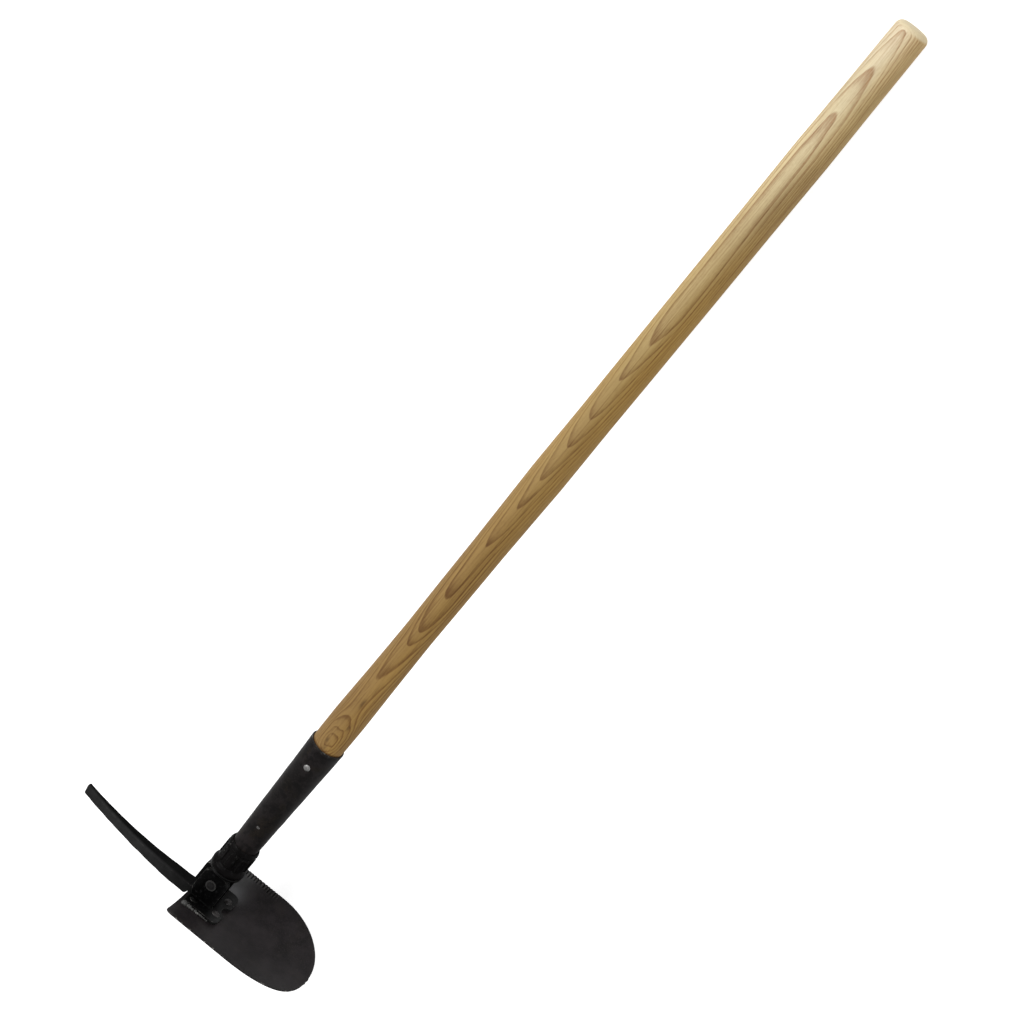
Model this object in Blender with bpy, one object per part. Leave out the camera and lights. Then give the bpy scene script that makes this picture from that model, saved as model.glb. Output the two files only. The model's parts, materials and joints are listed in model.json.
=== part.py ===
"""Combination fire tool: a shovel blade and a pick that fold on one pin at the foot of a long ash handle.

Metres, +Z up. Every piece is modelled in the tool's own frame: its origin is the middle of the hinge pin,
+X runs up the handle to the butt, +Y is the pick's side and +Z runs along the hinge pin. The empty tool_frame
then lays the whole tool on its side, with one long edge of the blade and the butt's underside on the ground.
"""

import math

import bmesh
import bpy
from mathutils import Matrix, Vector

MM = 0.001

# Clearance between touching pieces, and the small chamfer on turned edges
GAP = 0.3 * MM
CHAMFER = 1.0 * MM

# Ash handle: radii are given at distances up from the mouth of the socket
HANDLE_LENGTH = 1067 * MM
HANDLE_SEAT = 108 * MM
HANDLE_STATIONS = (
    (14 * MM, 18.9 * MM),
    (42 * MM, 19.0 * MM),
    (100 * MM, 17.8 * MM),
    (170 * MM, 17.1 * MM),
    (300 * MM, 17.7 * MM),
    (400 * MM, 19.1 * MM),
    (480 * MM, 18.6 * MM),
    (815 * MM, 18.7 * MM),
    (880 * MM, 18.0 * MM),
    (950 * MM, 17.4 * MM),
)
BUTT_ROUND = 7 * MM
RINGS_PER_STATION = 2

# Conical socket that holds the handle
SOCKET_FOOT = 60 * MM
SOCKET_LENGTH = 171 * MM
SOCKET_FOOT_RADIUS = 15.8 * MM
SOCKET_MOUTH_RADIUS = 20.5 * MM
SOCKET_WALL = 1.6 * MM
HANDLE_RIVET_DOWN = 28 * MM
HANDLE_RIVET_RADIUS = 3.0 * MM
HANDLE_RIVET_HEAD_RADIUS = 4.0 * MM
HANDLE_RIVET_HEAD_HEIGHT = 2.0 * MM
BURR_RADIUS = 6.5 * MM
BURR_THICKNESS = 1.2 * MM

# Yoke: threaded barrel, spigot up into the socket and flat tongue down to the hinge pin
BARREL_RADIUS = 12.0 * MM
COLLAR_RADIUS = 15.3 * MM
COLLAR_THICKNESS = 2.6 * MM
SPIGOT_LENGTH = 54 * MM
YOKE_PIN_UP = 42 * MM
YOKE_PIN_RADIUS = 2.5 * MM
TONGUE_THICKNESS = 10.0 * MM
TONGUE_BACK_RADIUS = 14.0 * MM
SHOULDER_REACH = 21.0 * MM
SHOULDER_FOOT = -14.0 * MM
SHOULDER_CHAMFER = 3.0 * MM
TONGUE_HEEL = 8.4 * MM
TONGUE_SINK = 4.0 * MM

# Lock nut and the thrust washer under it, as they stand just clear of the hinge cams
WASHER_LIFT = 0.7 * MM
WASHER_THICKNESS = 3.5 * MM
WASHER_RADIUS = 20.6 * MM
NUT_LENGTH = 40.2 * MM
NUT_FOOT_LIP = 0.4 * MM
NUT_BODY_RADIUS = 19.0 * MM
NUT_TOP_RADIUS = 18.7 * MM
NUT_EDGE = 1.2 * MM
NUT_THREAD_DEPTH = 16.2 * MM
NUT_COUNTERBORE_RADIUS = 16.8 * MM
NUT_BAND = 6.0 * MM
NUT_FLARE = 4.0 * MM
FLUTE_COUNT = 8
FLUTE_RADIUS = 2.1 * MM
FLUTE_DEPTH = 1.4 * MM
THREAD_PLAY = 0.35 * MM

# Hinge pin and the cams that the nut locks
PIN_RADIUS = 4.5 * MM
PIN_HEAD_RADIUS = 5.7 * MM
PIN_HEAD_HEIGHT = 2.4 * MM
PIN_WASHER_RADIUS = 6.5 * MM
PIN_WASHER_THICKNESS = 1.1 * MM
CAM_FLAT = 16.5 * MM
CAM_CORNER = 2.8 * MM
PICK_EAR_THICKNESS = 4.0 * MM
BLADE_EAR_THICKNESS = 4.0 * MM

# Pick: distances out from the pin (Y), with the inner face's and outer face's depth below the pin
PICK_REACH = 181 * MM
PICK_ROOT_REACH = 18.9 * MM
PICK_TIP_THICKNESS = 6.0 * MM
PICK_FOLD_GAP = 0.9 * MM
PICK_INNER_BELLY = 27.4 * MM
PICK_INNER_TIP = 19.8 * MM
PICK_ROOT_DEPTH = 15.0 * MM
PICK_BELLY_DEPTH = 10.2 * MM
PICK_TIP_DEPTH = 10.6 * MM
PICK_BELLY_REACH = 105 * MM
PICK_SKEW = 0.02
PICK_EDGE_BEVEL = 0.9 * MM
NECK_OUT = 19.4 * MM
NECK_OVERLAP = 3.0 * MM
CAM_CUT = 9.1 * MM

# Blade: a dished plate, its centre line sloping up from root to tip, with saw teeth along its ground edge
BLADE_WIDTH = 152 * MM
BLADE_LENGTH = 167 * MM
BLADE_STRAIGHT = 85 * MM
BLADE_TIP_POWER = 0.86
BLADE_ROOT_REACH = 16.9 * MM
BLADE_TIP_RISE = 10.5 * MM
BLADE_DISH = 13.8 * MM
BLADE_THICKNESS = 2.4 * MM
BLADE_EDGE_THICKNESS = 1.2 * MM
BLADE_CORNER_RADIUS = 7.0 * MM
SAW_START = 27 * MM
SAW_TEETH = 13
SAW_PITCH = 4.0 * MM
SAW_DEPTH = 1.0 * MM

# Bracket that carries the blade on the pin, its rivets and its welds
BRACKET_THICKNESS = 4.0 * MM
BRACKET_SWING_GAP = 1.5 * MM
BRACKET_HALF_WIDTH = 32.5 * MM
BRACKET_BACK = 13.0 * MM
BRACKET_FRONT = -33.0 * MM
BRACKET_NOTCH_START = 6.0 * MM
BRACKET_CORNER_RADIUS = 8.0 * MM
TOE_GAP_RADIUS = 9.0 * MM
TOE_GAP_DEPTH = 7.0 * MM
EAR_HEEL = 12.5 * MM
RIVET_RADIUS = 2.4 * MM
RIVET_HEAD_RADIUS = 4.9 * MM
RIVET_HEAD_HEIGHT = 2.8 * MM
RIVET_TAIL_HEIGHT = 1.6 * MM
RIVET_FRONT = 8.5 * MM
RIVET_FRONT_SPREAD = 2.4 * MM
RIVET_BACK_REACH = 4.0 * MM
RIVET_BACK_SPREAD = 8.4 * MM
WELD_WIDTH = 4.2 * MM
WELD_HEIGHT = 3.4 * MM
WELD_FRONT = -24.0 * MM
WELD_STEP = 2.4 * MM

# Levels and places that follow from the sizes above
CAM_CORNER_RADIUS = CAM_FLAT + CAM_CORNER
WASHER_FOOT = CAM_CORNER_RADIUS + WASHER_LIFT
SHOULDER_TOP = CAM_FLAT - CHAMFER / 2
SHOULDER_SWING = math.hypot(SHOULDER_REACH, max(-SHOULDER_FOOT, SHOULDER_TOP - SHOULDER_CHAMFER))
BLADE_ROOT_DEPTH = SHOULDER_SWING + BRACKET_THICKNESS + BRACKET_SWING_GAP + GAP
NUT_FOOT_RADIUS = WASHER_RADIUS + NUT_FOOT_LIP
PICK_INNER_ROOT = NUT_FOOT_RADIUS + PICK_FOLD_GAP
NECK_START = WASHER_RADIUS + 2 * GAP
NECK_FOOT = BLADE_ROOT_DEPTH - BRACKET_THICKNESS - 1.4 * MM
SOCKET_MOUTH = SOCKET_FOOT + SOCKET_LENGTH
HANDLE_FOOT = SOCKET_MOUTH - HANDLE_SEAT
HANDLE_BUTT = HANDLE_FOOT + HANDLE_LENGTH
TONGUE_HALF = TONGUE_THICKNESS / 2
PICK_EAR_IN = TONGUE_HALF + GAP
PICK_EAR_OUT = PICK_EAR_IN + PICK_EAR_THICKNESS
BLADE_EAR_IN = PICK_EAR_OUT + GAP
BLADE_EAR_OUT = BLADE_EAR_IN + BLADE_EAR_THICKNESS
PIN_WASHER_SEAT = BLADE_EAR_OUT + GAP
PIN_HEAD_SEAT = PIN_WASHER_SEAT + PIN_WASHER_THICKNESS + GAP
NUT_FOOT = WASHER_FOOT + WASHER_THICKNESS + GAP
NUT_TOP = NUT_FOOT + NUT_LENGTH
FORK_RADIUS = SHOULDER_SWING + 1.8 * MM
PICK_ROOT_THICKNESS = 2 * PICK_EAR_OUT
RIVET_PLACES = tuple(
    (reach, side * across)
    for reach, across in (
        (-CAM_FLAT - RIVET_FRONT, BLADE_EAR_OUT + RIVET_FRONT_SPREAD),
        (RIVET_BACK_REACH, BLADE_EAR_OUT + RIVET_BACK_SPREAD),
    )
    for side in (1, -1)
)

UP_THE_PIN = Matrix.Rotation(math.radians(-90), 4, "Y")
ROUND_STEPS = 48


def clear_scene():
    for item in list(bpy.data.objects):
        bpy.data.objects.remove(item, do_unlink=True)


def material(name, colour, roughness, metallic):
    made = bpy.data.materials.new(name)
    made.use_nodes = True
    shader = made.node_tree.nodes["Principled BSDF"]
    shader.inputs["Base Color"].default_value = (*colour, 1.0)
    shader.inputs["Roughness"].default_value = roughness
    shader.inputs["Metallic"].default_value = metallic
    return made


def empty(name, parent):
    made = bpy.data.objects.new(name, None)
    made.empty_display_size = 0.03
    bpy.context.collection.objects.link(made)
    made.parent = parent
    return made


def shape(name, bm, finish, parent):
    """Make one object from a bmesh, with its faces pointing out and its round sides smooth."""
    bmesh.ops.recalc_face_normals(bm, faces=bm.faces)
    mesh = bpy.data.meshes.new(name)
    bm.to_mesh(mesh)
    bm.free()
    mesh.shade_smooth()
    mesh.set_sharp_from_angle(angle=math.radians(35))
    made = bpy.data.objects.new(name, mesh)
    bpy.context.collection.objects.link(made)
    made.parent = parent
    if finish:
        mesh.materials.append(finish)
    else:
        made.hide_render = True
        made.display_type = "WIRE"
    return made


def combine(target, tool, operation):
    """Cut the tool from the target, or join it on, with an exact Boolean."""
    modifier = target.modifiers.new(tool.name, "BOOLEAN")
    modifier.operation = operation
    modifier.solver = "EXACT"
    modifier.object = tool


def turned(bm, profile, matrix=Matrix(), steps=ROUND_STEPS, ring=False):
    """Add a solid turned about local X from (along, radius) pairs; a ring's profile closes on itself."""
    points = [bm.verts.new((along, 0.0, radius)) for along, radius in profile]
    pairs = list(zip(points, points[1:]))
    if ring:
        pairs.append((points[-1], points[0]))
    edges = [bm.edges.new(pair) for pair in pairs]
    before = set(bm.verts) - set(points)
    bmesh.ops.spin(
        bm, geom=points + edges, cent=(0, 0, 0), axis=(1, 0, 0), angle=math.tau, steps=steps, use_merge=True
    )
    added = [vert for vert in bm.verts if vert not in before]
    bmesh.ops.remove_doubles(bm, verts=added, dist=1e-7)
    added = [vert for vert in bm.verts if vert not in before]
    bmesh.ops.transform(bm, matrix=matrix, verts=added)


def raised(bm, outline, low, high):
    """Add a flat outline of (x, y) points raised from one level of Z to another."""
    face = bm.faces.new([bm.verts.new((x, y, low)) for x, y in outline])
    grown = bmesh.ops.extrude_face_region(bm, geom=[face])
    lifted = [item for item in grown["geom"] if isinstance(item, bmesh.types.BMVert)]
    bmesh.ops.translate(bm, vec=(0, 0, high - low), verts=lifted)


def rod(radius, low, high):
    return [(low, 0.0), (low, radius), (high, radius), (high, 0.0)]


def dome(seat, radius, height, steps=5):
    """Profile of a rivet head that rises from its seat, from the rim to the crown."""
    ball = (radius**2 + height**2) / (2 * height)
    reach = math.asin(radius / ball)
    centre = seat + height - ball
    angles = [reach * (1 - step / steps) for step in range(steps + 1)]
    return [(centre + ball * math.cos(angle), ball * math.sin(angle)) for angle in angles]


def arc(radius, start, end, steps):
    angles = [math.radians(start + (end - start) * step / steps) for step in range(steps + 1)]
    return [(radius * math.cos(angle), radius * math.sin(angle)) for angle in angles]


def smooth_radius(stations, along):
    """Radius between stations, eased so that the turned handle has no corners."""
    if along <= stations[0][0]:
        return stations[0][1]
    for (start, first), (end, last) in zip(stations, stations[1:]):
        if along <= end:
            share = (along - start) / (end - start)
            return first + (last - first) * share * share * (3 - 2 * share)
    return stations[-1][1]


def socket_radius(along):
    """Outside radius of the socket at a level up the handle."""
    share = (along - SOCKET_FOOT) / SOCKET_LENGTH
    return SOCKET_FOOT_RADIUS + (SOCKET_MOUTH_RADIUS - SOCKET_FOOT_RADIUS) * share


def blade_half_width(down):
    """Half width of the blade at a distance from its root edge."""
    half = BLADE_WIDTH / 2
    if down < BLADE_CORNER_RADIUS:
        rest = BLADE_CORNER_RADIUS - down
        return half - BLADE_CORNER_RADIUS + math.sqrt(BLADE_CORNER_RADIUS**2 - rest**2)
    if down <= BLADE_STRAIGHT:
        return half
    share = min((down - BLADE_STRAIGHT) / (BLADE_LENGTH - BLADE_STRAIGHT), 1.0)
    return half * math.sqrt(1 - share**2) ** BLADE_TIP_POWER


def blade_level(down, across):
    """Level of the blade's inner face, which is dished from side to side."""
    dish = BLADE_DISH * (2 * across / BLADE_WIDTH) ** 2
    return -BLADE_ROOT_DEPTH + BLADE_TIP_RISE * down / BLADE_LENGTH + dish


def blade_place(reach, across):
    """Matrix that stands local X on the blade's inner face, at a reach from the pin and a place across."""
    down = BLADE_ROOT_REACH - reach
    lean = BLADE_TIP_RISE / BLADE_LENGTH
    curl = 8 * BLADE_DISH * across / BLADE_WIDTH**2
    square = Vector((1.0, lean, -curl)).normalized()
    turn = Vector((1, 0, 0)).rotation_difference(square).to_matrix().to_4x4()
    return Matrix.Translation((blade_level(down, across), reach, across)) @ turn


def skin(bm, rows, low, high, tip=None):
    """Add a plate that follows the blade's inner face.

    Rows hold (down, across) points; low and high give the offsets of its two faces.
    """

    def vert(down, across, offset):
        level = blade_level(down, across) + offset(down, across)
        return bm.verts.new((level, BLADE_ROOT_REACH - down, across))

    upper = [[vert(*point, high) for point in row] for row in rows]
    lower = [[vert(*point, low) for point in row] for row in rows]
    for above, below, ahead, beneath in zip(upper, lower, upper[1:], lower[1:]):
        for left, right in zip(range(len(above) - 1), range(1, len(above))):
            bm.faces.new((above[left], above[right], ahead[right], ahead[left]))
            bm.faces.new((below[left], beneath[left], beneath[right], below[right]))
        for side in (0, -1):
            bm.faces.new((above[side], ahead[side], beneath[side], below[side]))
    ends = [(upper[0], lower[0])] if tip else [(upper[0], lower[0]), (upper[-1], lower[-1])]
    for above, below in ends:
        for left, right in zip(range(len(above) - 1), range(1, len(above))):
            bm.faces.new((above[left], above[right], below[right], below[left]))
    if tip:
        crest = vert(*tip, high)
        keel = vert(*tip, low)
        for left, right in zip(range(len(rows[-1]) - 1), range(1, len(rows[-1]))):
            bm.faces.new((upper[-1][left], upper[-1][right], crest))
            bm.faces.new((lower[-1][left], keel, lower[-1][right]))
        for side in (0, -1):
            bm.faces.new((upper[-1][side], crest, keel, lower[-1][side]))


def wood_handle(finish, parent):
    profile = [(HANDLE_FOOT, 0.0)]
    inside = SOCKET_WALL + GAP
    profile.append((HANDLE_FOOT, socket_radius(HANDLE_FOOT) - inside - CHAMFER))
    profile.append((HANDLE_FOOT + CHAMFER, socket_radius(HANDLE_FOOT) - inside))
    profile.append((SOCKET_MOUTH, SOCKET_MOUTH_RADIUS - inside))
    bare = HANDLE_BUTT - SOCKET_MOUTH
    for (start, _), (end, _) in zip(HANDLE_STATIONS, HANDLE_STATIONS[1:]):
        for step in range(RINGS_PER_STATION):
            along = start + (end - start) * step / RINGS_PER_STATION
            if along < bare - BUTT_ROUND - CHAMFER:
                profile.append((SOCKET_MOUTH + along, smooth_radius(HANDLE_STATIONS, along)))
    end_radius = smooth_radius(HANDLE_STATIONS, bare)
    for step in range(7):
        angle = math.radians(15 * step)
        along = HANDLE_BUTT - BUTT_ROUND * (1 - math.sin(angle))
        profile.append((along, end_radius - BUTT_ROUND * (1 - math.cos(angle))))
    profile.append((HANDLE_BUTT, 0.0))
    bm = bmesh.new()
    turned(bm, profile)
    return shape("wood_handle", bm, finish, parent)


def socket(finish, parent):
    bm = bmesh.new()
    profile = [
        (SOCKET_FOOT, SOCKET_FOOT_RADIUS - SOCKET_WALL),
        (SOCKET_FOOT, SOCKET_FOOT_RADIUS),
        (SOCKET_MOUTH - 0.6 * MM, SOCKET_MOUTH_RADIUS),
        (SOCKET_MOUTH, SOCKET_MOUTH_RADIUS - 0.5 * MM),
        (SOCKET_MOUTH, SOCKET_MOUTH_RADIUS - SOCKET_WALL),
    ]
    turned(bm, profile, ring=True)
    return shape("socket", bm, finish, parent)


def handle_rivet(finish, parent):
    """Rivet through socket and handle along the pin's direction, domed at one end and spread over a burr."""
    along = SOCKET_MOUTH - HANDLE_RIVET_DOWN
    seat = socket_radius(along) + GAP
    tail = seat + BURR_THICKNESS + GAP
    head = dome(seat, HANDLE_RIVET_HEAD_RADIUS, HANDLE_RIVET_HEAD_HEIGHT)
    spread = dome(tail, HANDLE_RIVET_HEAD_RADIUS, HANDLE_RIVET_HEAD_HEIGHT)
    foot = [(-level, radius) for level, radius in spread]
    profile = foot[::-1] + [(-tail, HANDLE_RIVET_RADIUS), (seat, HANDLE_RIVET_RADIUS)] + head
    place = Matrix.Translation((along, 0, 0)) @ UP_THE_PIN
    bm = bmesh.new()
    turned(bm, profile, place, 24)
    rivet = shape("handle_rivet", bm, finish, parent)
    hole = HANDLE_RIVET_RADIUS + GAP
    bm = bmesh.new()
    burr = [(-seat - BURR_THICKNESS, hole), (-seat - BURR_THICKNESS, BURR_RADIUS - 0.4 * MM)]
    burr += [(-seat - BURR_THICKNESS / 2, BURR_RADIUS), (-seat, BURR_RADIUS), (-seat, hole)]
    turned(bm, burr, place, 24, ring=True)
    shape("rivet_burr", bm, finish, parent)
    bm = bmesh.new()
    turned(bm, rod(hole, -2 * seat, 2 * seat), place, 24)
    return rivet, shape("cut_handle_rivet", bm, None, parent)


def yoke(finish, parent):
    spigot_foot = SOCKET_FOOT
    spigot_top = SOCKET_FOOT + SPIGOT_LENGTH
    inside = SOCKET_WALL + GAP
    profile = [
        (WASHER_FOOT, 0.0),
        (WASHER_FOOT, BARREL_RADIUS - CHAMFER),
        (WASHER_FOOT + CHAMFER, BARREL_RADIUS),
        (SOCKET_FOOT - GAP - COLLAR_THICKNESS, BARREL_RADIUS),
        (SOCKET_FOOT - GAP - COLLAR_THICKNESS, COLLAR_RADIUS),
        (SOCKET_FOOT - GAP, COLLAR_RADIUS),
        (SOCKET_FOOT - GAP, SOCKET_FOOT_RADIUS - inside),
        (spigot_foot, socket_radius(spigot_foot) - inside),
        (spigot_top - CHAMFER, socket_radius(spigot_top) - inside),
        (spigot_top, socket_radius(spigot_top) - inside - CHAMFER),
        (spigot_top, 0.0),
    ]
    bm = bmesh.new()
    turned(bm, profile)
    body = shape("yoke", bm, finish, parent)
    neck = math.sqrt((BARREL_RADIUS - 0.1 * MM) ** 2 - TONGUE_HALF**2)
    sunk = WASHER_FOOT + TONGUE_SINK
    outline = [(sunk, -neck), (sunk, neck), (SHOULDER_TOP, neck)]
    outline += [(SHOULDER_TOP, SHOULDER_REACH - SHOULDER_CHAMFER)]
    outline += [(SHOULDER_TOP - SHOULDER_CHAMFER, SHOULDER_REACH)]
    outline += [(SHOULDER_FOOT, SHOULDER_REACH), (SHOULDER_FOOT, TONGUE_HEEL)]
    start = 180 - math.degrees(math.asin(TONGUE_HEEL / TONGUE_BACK_RADIUS))
    end = 360 - math.degrees(math.asin(neck / TONGUE_BACK_RADIUS))
    outline += arc(TONGUE_BACK_RADIUS, start, end, 12)
    bm = bmesh.new()
    raised(bm, outline, -TONGUE_HALF, TONGUE_HALF)
    tongue = shape("join_tongue", bm, None, parent)
    combine(body, tongue, "UNION")
    return body


def yoke_pin(finish, parent):
    """Flush pin that holds the yoke's spigot in the socket."""
    along = SOCKET_FOOT + YOKE_PIN_UP
    end = socket_radius(along)
    place = Matrix.Translation((along, 0, 0)) @ UP_THE_PIN
    crown = dome(end - 0.4 * MM, YOKE_PIN_RADIUS, 0.6 * MM, 3)
    foot = [(-level, radius) for level, radius in crown]
    bm = bmesh.new()
    turned(bm, foot[::-1] + crown, place, 20)
    pin = shape("yoke_pin", bm, finish, parent)
    bm = bmesh.new()
    turned(bm, rod(YOKE_PIN_RADIUS + GAP, -2 * end, 2 * end), place, 20)
    return pin, shape("cut_yoke_pin", bm, None, parent)


def thrust_washer(finish, parent):
    top = WASHER_FOOT + WASHER_THICKNESS
    bore = BARREL_RADIUS + THREAD_PLAY
    profile = [
        (WASHER_FOOT, bore),
        (WASHER_FOOT, WASHER_RADIUS - CHAMFER),
        (WASHER_FOOT + CHAMFER, WASHER_RADIUS),
        (top, WASHER_RADIUS),
        (top, bore),
    ]
    bm = bmesh.new()
    turned(bm, profile, ring=True)
    return shape("thrust_washer", bm, finish, parent)


def lock_nut(finish, parent):
    """Nut with a flared foot, eight lengthwise flutes for the hand and a ring at its top."""
    bore = BARREL_RADIUS + THREAD_PLAY
    floor = NUT_FOOT + NUT_THREAD_DEPTH
    band = NUT_FOOT + NUT_BAND
    ring_foot = NUT_TOP - NUT_BAND
    profile = [
        (NUT_FOOT, bore),
        (NUT_FOOT, NUT_FOOT_RADIUS - NUT_EDGE),
        (NUT_FOOT + NUT_EDGE, NUT_FOOT_RADIUS),
        (band, NUT_FOOT_RADIUS),
        (band + NUT_FLARE, NUT_BODY_RADIUS),
        (ring_foot, NUT_TOP_RADIUS),
        (NUT_TOP - NUT_EDGE, NUT_TOP_RADIUS),
        (NUT_TOP - NUT_EDGE / 3, NUT_TOP_RADIUS - NUT_EDGE / 2),
        (NUT_TOP, NUT_TOP_RADIUS - NUT_EDGE),
        (NUT_TOP, NUT_COUNTERBORE_RADIUS),
        (floor, NUT_COUNTERBORE_RADIUS),
        (floor, bore),
    ]
    bm = bmesh.new()
    turned(bm, profile, ring=True, steps=64)
    nut = shape("lock_nut", bm, finish, parent)
    low = band + NUT_FLARE * 0.6 + FLUTE_RADIUS
    high = ring_foot - FLUTE_RADIUS
    quarter = arc(FLUTE_RADIUS, 0, 90, 3)
    capsule = [(low - along, out) for along, out in quarter]
    capsule += [(high + along, out) for along, out in reversed(quarter)]
    lift = Matrix.Translation((0, 0, NUT_BODY_RADIUS - FLUTE_DEPTH + FLUTE_RADIUS))
    bm = bmesh.new()
    for number in range(FLUTE_COUNT):
        turn = Matrix.Rotation(math.tau * (number + 0.5) / FLUTE_COUNT, 4, "X")
        turned(bm, capsule, turn @ lift, 12)
    flutes = shape("cut_flutes", bm, None, parent)
    combine(nut, flutes, "DIFFERENCE")
    return nut


def cam_corner(quarter):
    """Rounded corner of a cam, between two flats."""
    edge = math.degrees(math.acos(CAM_FLAT / CAM_CORNER_RADIUS))
    return arc(CAM_CORNER_RADIUS, 90 * quarter + edge, 90 * (quarter + 1) - edge, 4)


def hinge_pin(finish, parent):
    """Pin through both cams and the tongue, spread at each end over a small washer."""
    head = dome(PIN_HEAD_SEAT, PIN_HEAD_RADIUS, PIN_HEAD_HEIGHT)
    foot = [(-level, radius) for level, radius in head]
    profile = foot[::-1] + [(-PIN_HEAD_SEAT, PIN_RADIUS), (PIN_HEAD_SEAT, PIN_RADIUS)] + head
    bm = bmesh.new()
    turned(bm, profile, UP_THE_PIN, 32)
    pin = shape("hinge_pin", bm, finish, parent)
    hole = PIN_RADIUS + GAP
    outer = PIN_WASHER_SEAT + PIN_WASHER_THICKNESS
    ring = [(PIN_WASHER_SEAT, hole), (PIN_WASHER_SEAT, PIN_WASHER_RADIUS)]
    ring += [(outer - 0.3 * MM, PIN_WASHER_RADIUS), (outer, PIN_WASHER_RADIUS - 0.3 * MM), (outer, hole)]
    for name, side in (("pin_washer_near", 1), ("pin_washer_far", -1)):
        bm = bmesh.new()
        turned(bm, [(side * level, radius) for level, radius in ring], UP_THE_PIN, 32, ring=True)
        shape(name, bm, finish, parent)
    bm = bmesh.new()
    turned(bm, rod(PIN_RADIUS + GAP, -40 * MM, 40 * MM), UP_THE_PIN, 32)
    return pin, shape("cut_pin_bore", bm, None, parent)


def eased(first, middle, last, share):
    """Value on the smooth curve that passes three evenly spaced values."""
    ends = first * (1 - share) * (1 - 2 * share) + last * share * (2 * share - 1)
    return ends + 4 * middle * share * (1 - share)


def pick_arm(bm):
    """Curved arm that thins from its root to a square chisel end."""
    rows = []
    for step in range(17):
        share = step / 16
        reach = PICK_ROOT_REACH + (PICK_REACH - PICK_ROOT_REACH) * share
        inner = -eased(PICK_INNER_ROOT, PICK_INNER_BELLY, PICK_INNER_TIP, share)
        outer = inner - eased(PICK_ROOT_DEPTH, PICK_BELLY_DEPTH, PICK_TIP_DEPTH, share)
        half = (PICK_ROOT_THICKNESS + (PICK_TIP_THICKNESS - PICK_ROOT_THICKNESS) * share) / 2
        skewed = reach + (PICK_BELLY_REACH - reach) * PICK_SKEW
        corners = ((inner, reach, half), (inner, reach, -half), (outer, skewed, -half), (outer, skewed, half))
        rows.append([bm.verts.new(corner) for corner in corners])
    bm.faces.new(rows[0])
    bm.faces.new(rows[-1])
    for row, ahead in zip(rows, rows[1:]):
        for side in range(4):
            after = (side + 1) % 4
            bm.faces.new((row[side], row[after], ahead[after], ahead[side]))


def pick(finish, parent, bore):
    bm = bmesh.new()
    pick_arm(bm)
    body = shape("pick", bm, finish, parent)
    bevel = body.modifiers.new("worn_edges", "BEVEL")
    bevel.width = PICK_EDGE_BEVEL
    bevel.segments = 2
    bevel.limit_method = "ANGLE"
    bevel.angle_limit = math.radians(40)
    neck_back = BRACKET_NOTCH_START + 2 * CHAMFER
    neck_foot = blade_level(0.0, PICK_EAR_OUT) + 2 * GAP
    neck_back_foot = blade_level(BLADE_ROOT_REACH - neck_back, PICK_EAR_OUT) + 2 * GAP
    arm_top = -PICK_INNER_ROOT - GAP
    arm_foot = -PICK_INNER_ROOT - PICK_ROOT_DEPTH + CHAMFER
    outline = cam_corner(-1) + cam_corner(0)
    outline += [(-NECK_START, CAM_FLAT), (arm_top, NECK_OUT)]
    outline += [(arm_top, PICK_ROOT_REACH + NECK_OVERLAP), (arm_foot, PICK_ROOT_REACH + NECK_OVERLAP)]
    outline += [(arm_foot, PICK_ROOT_REACH + 2 * GAP), (neck_foot, BLADE_ROOT_REACH)]
    outline += [(neck_back_foot, neck_back)]
    outline += [(-NECK_FOOT, BRACKET_NOTCH_START + CHAMFER), (-CAM_FLAT, -CAM_CUT), (-CAM_CUT, -CAM_FLAT)]
    bm = bmesh.new()
    raised(bm, outline, -PICK_EAR_OUT, PICK_EAR_OUT)
    ears = shape("join_pick_ears", bm, None, parent)
    combine(body, ears, "UNION")
    bm = bmesh.new()
    turned(bm, rod(FORK_RADIUS, -PICK_EAR_IN, PICK_EAR_IN), UP_THE_PIN, 64)
    fork = shape("cut_pick_fork", bm, None, parent)
    combine(body, fork, "DIFFERENCE")
    combine(body, bore, "DIFFERENCE")
    return body


def blade(finish, parent):
    """Dished plate with round root corners, a rounded point and saw teeth on its ground edge."""
    corner = [BLADE_CORNER_RADIUS * (1 - math.cos(math.radians(90 * step / 4))) for step in range(5)]
    saw = [SAW_START + SAW_PITCH * step / 2 for step in range(2 * SAW_TEETH + 1)]
    between = [BLADE_CORNER_RADIUS + (SAW_START - BLADE_CORNER_RADIUS) * step / 3 for step in (1, 2)]
    bend = [math.radians(8 * step) for step in range(1, 11)]
    curve = [BLADE_STRAIGHT + (BLADE_LENGTH - BLADE_STRAIGHT) * math.sin(angle) for angle in bend]
    straight = [down for down in (BLADE_STRAIGHT,) if down > saw[-1]]
    downs = corner + between + saw + straight + [down for down in curve if down > saw[-1]]
    columns = [-1 + step / 8 for step in range(17)]
    rows = []
    for down in downs:
        half = blade_half_width(down)
        row = [(down, column * half) for column in columns]
        if down in saw and saw.index(down) % 2:
            row[0] = (down, SAW_DEPTH - half)
        rows.append(row)

    def underside(down, across):
        edge = blade_half_width(down) - abs(across) < SAW_DEPTH * 1.5 or down > BLADE_LENGTH - SAW_DEPTH
        return -(BLADE_EDGE_THICKNESS if edge else BLADE_THICKNESS)

    bm = bmesh.new()
    skin(bm, rows, underside, lambda down, across: 0.0, tip=(BLADE_LENGTH, 0.0))
    return shape("blade", bm, finish, parent)


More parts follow.
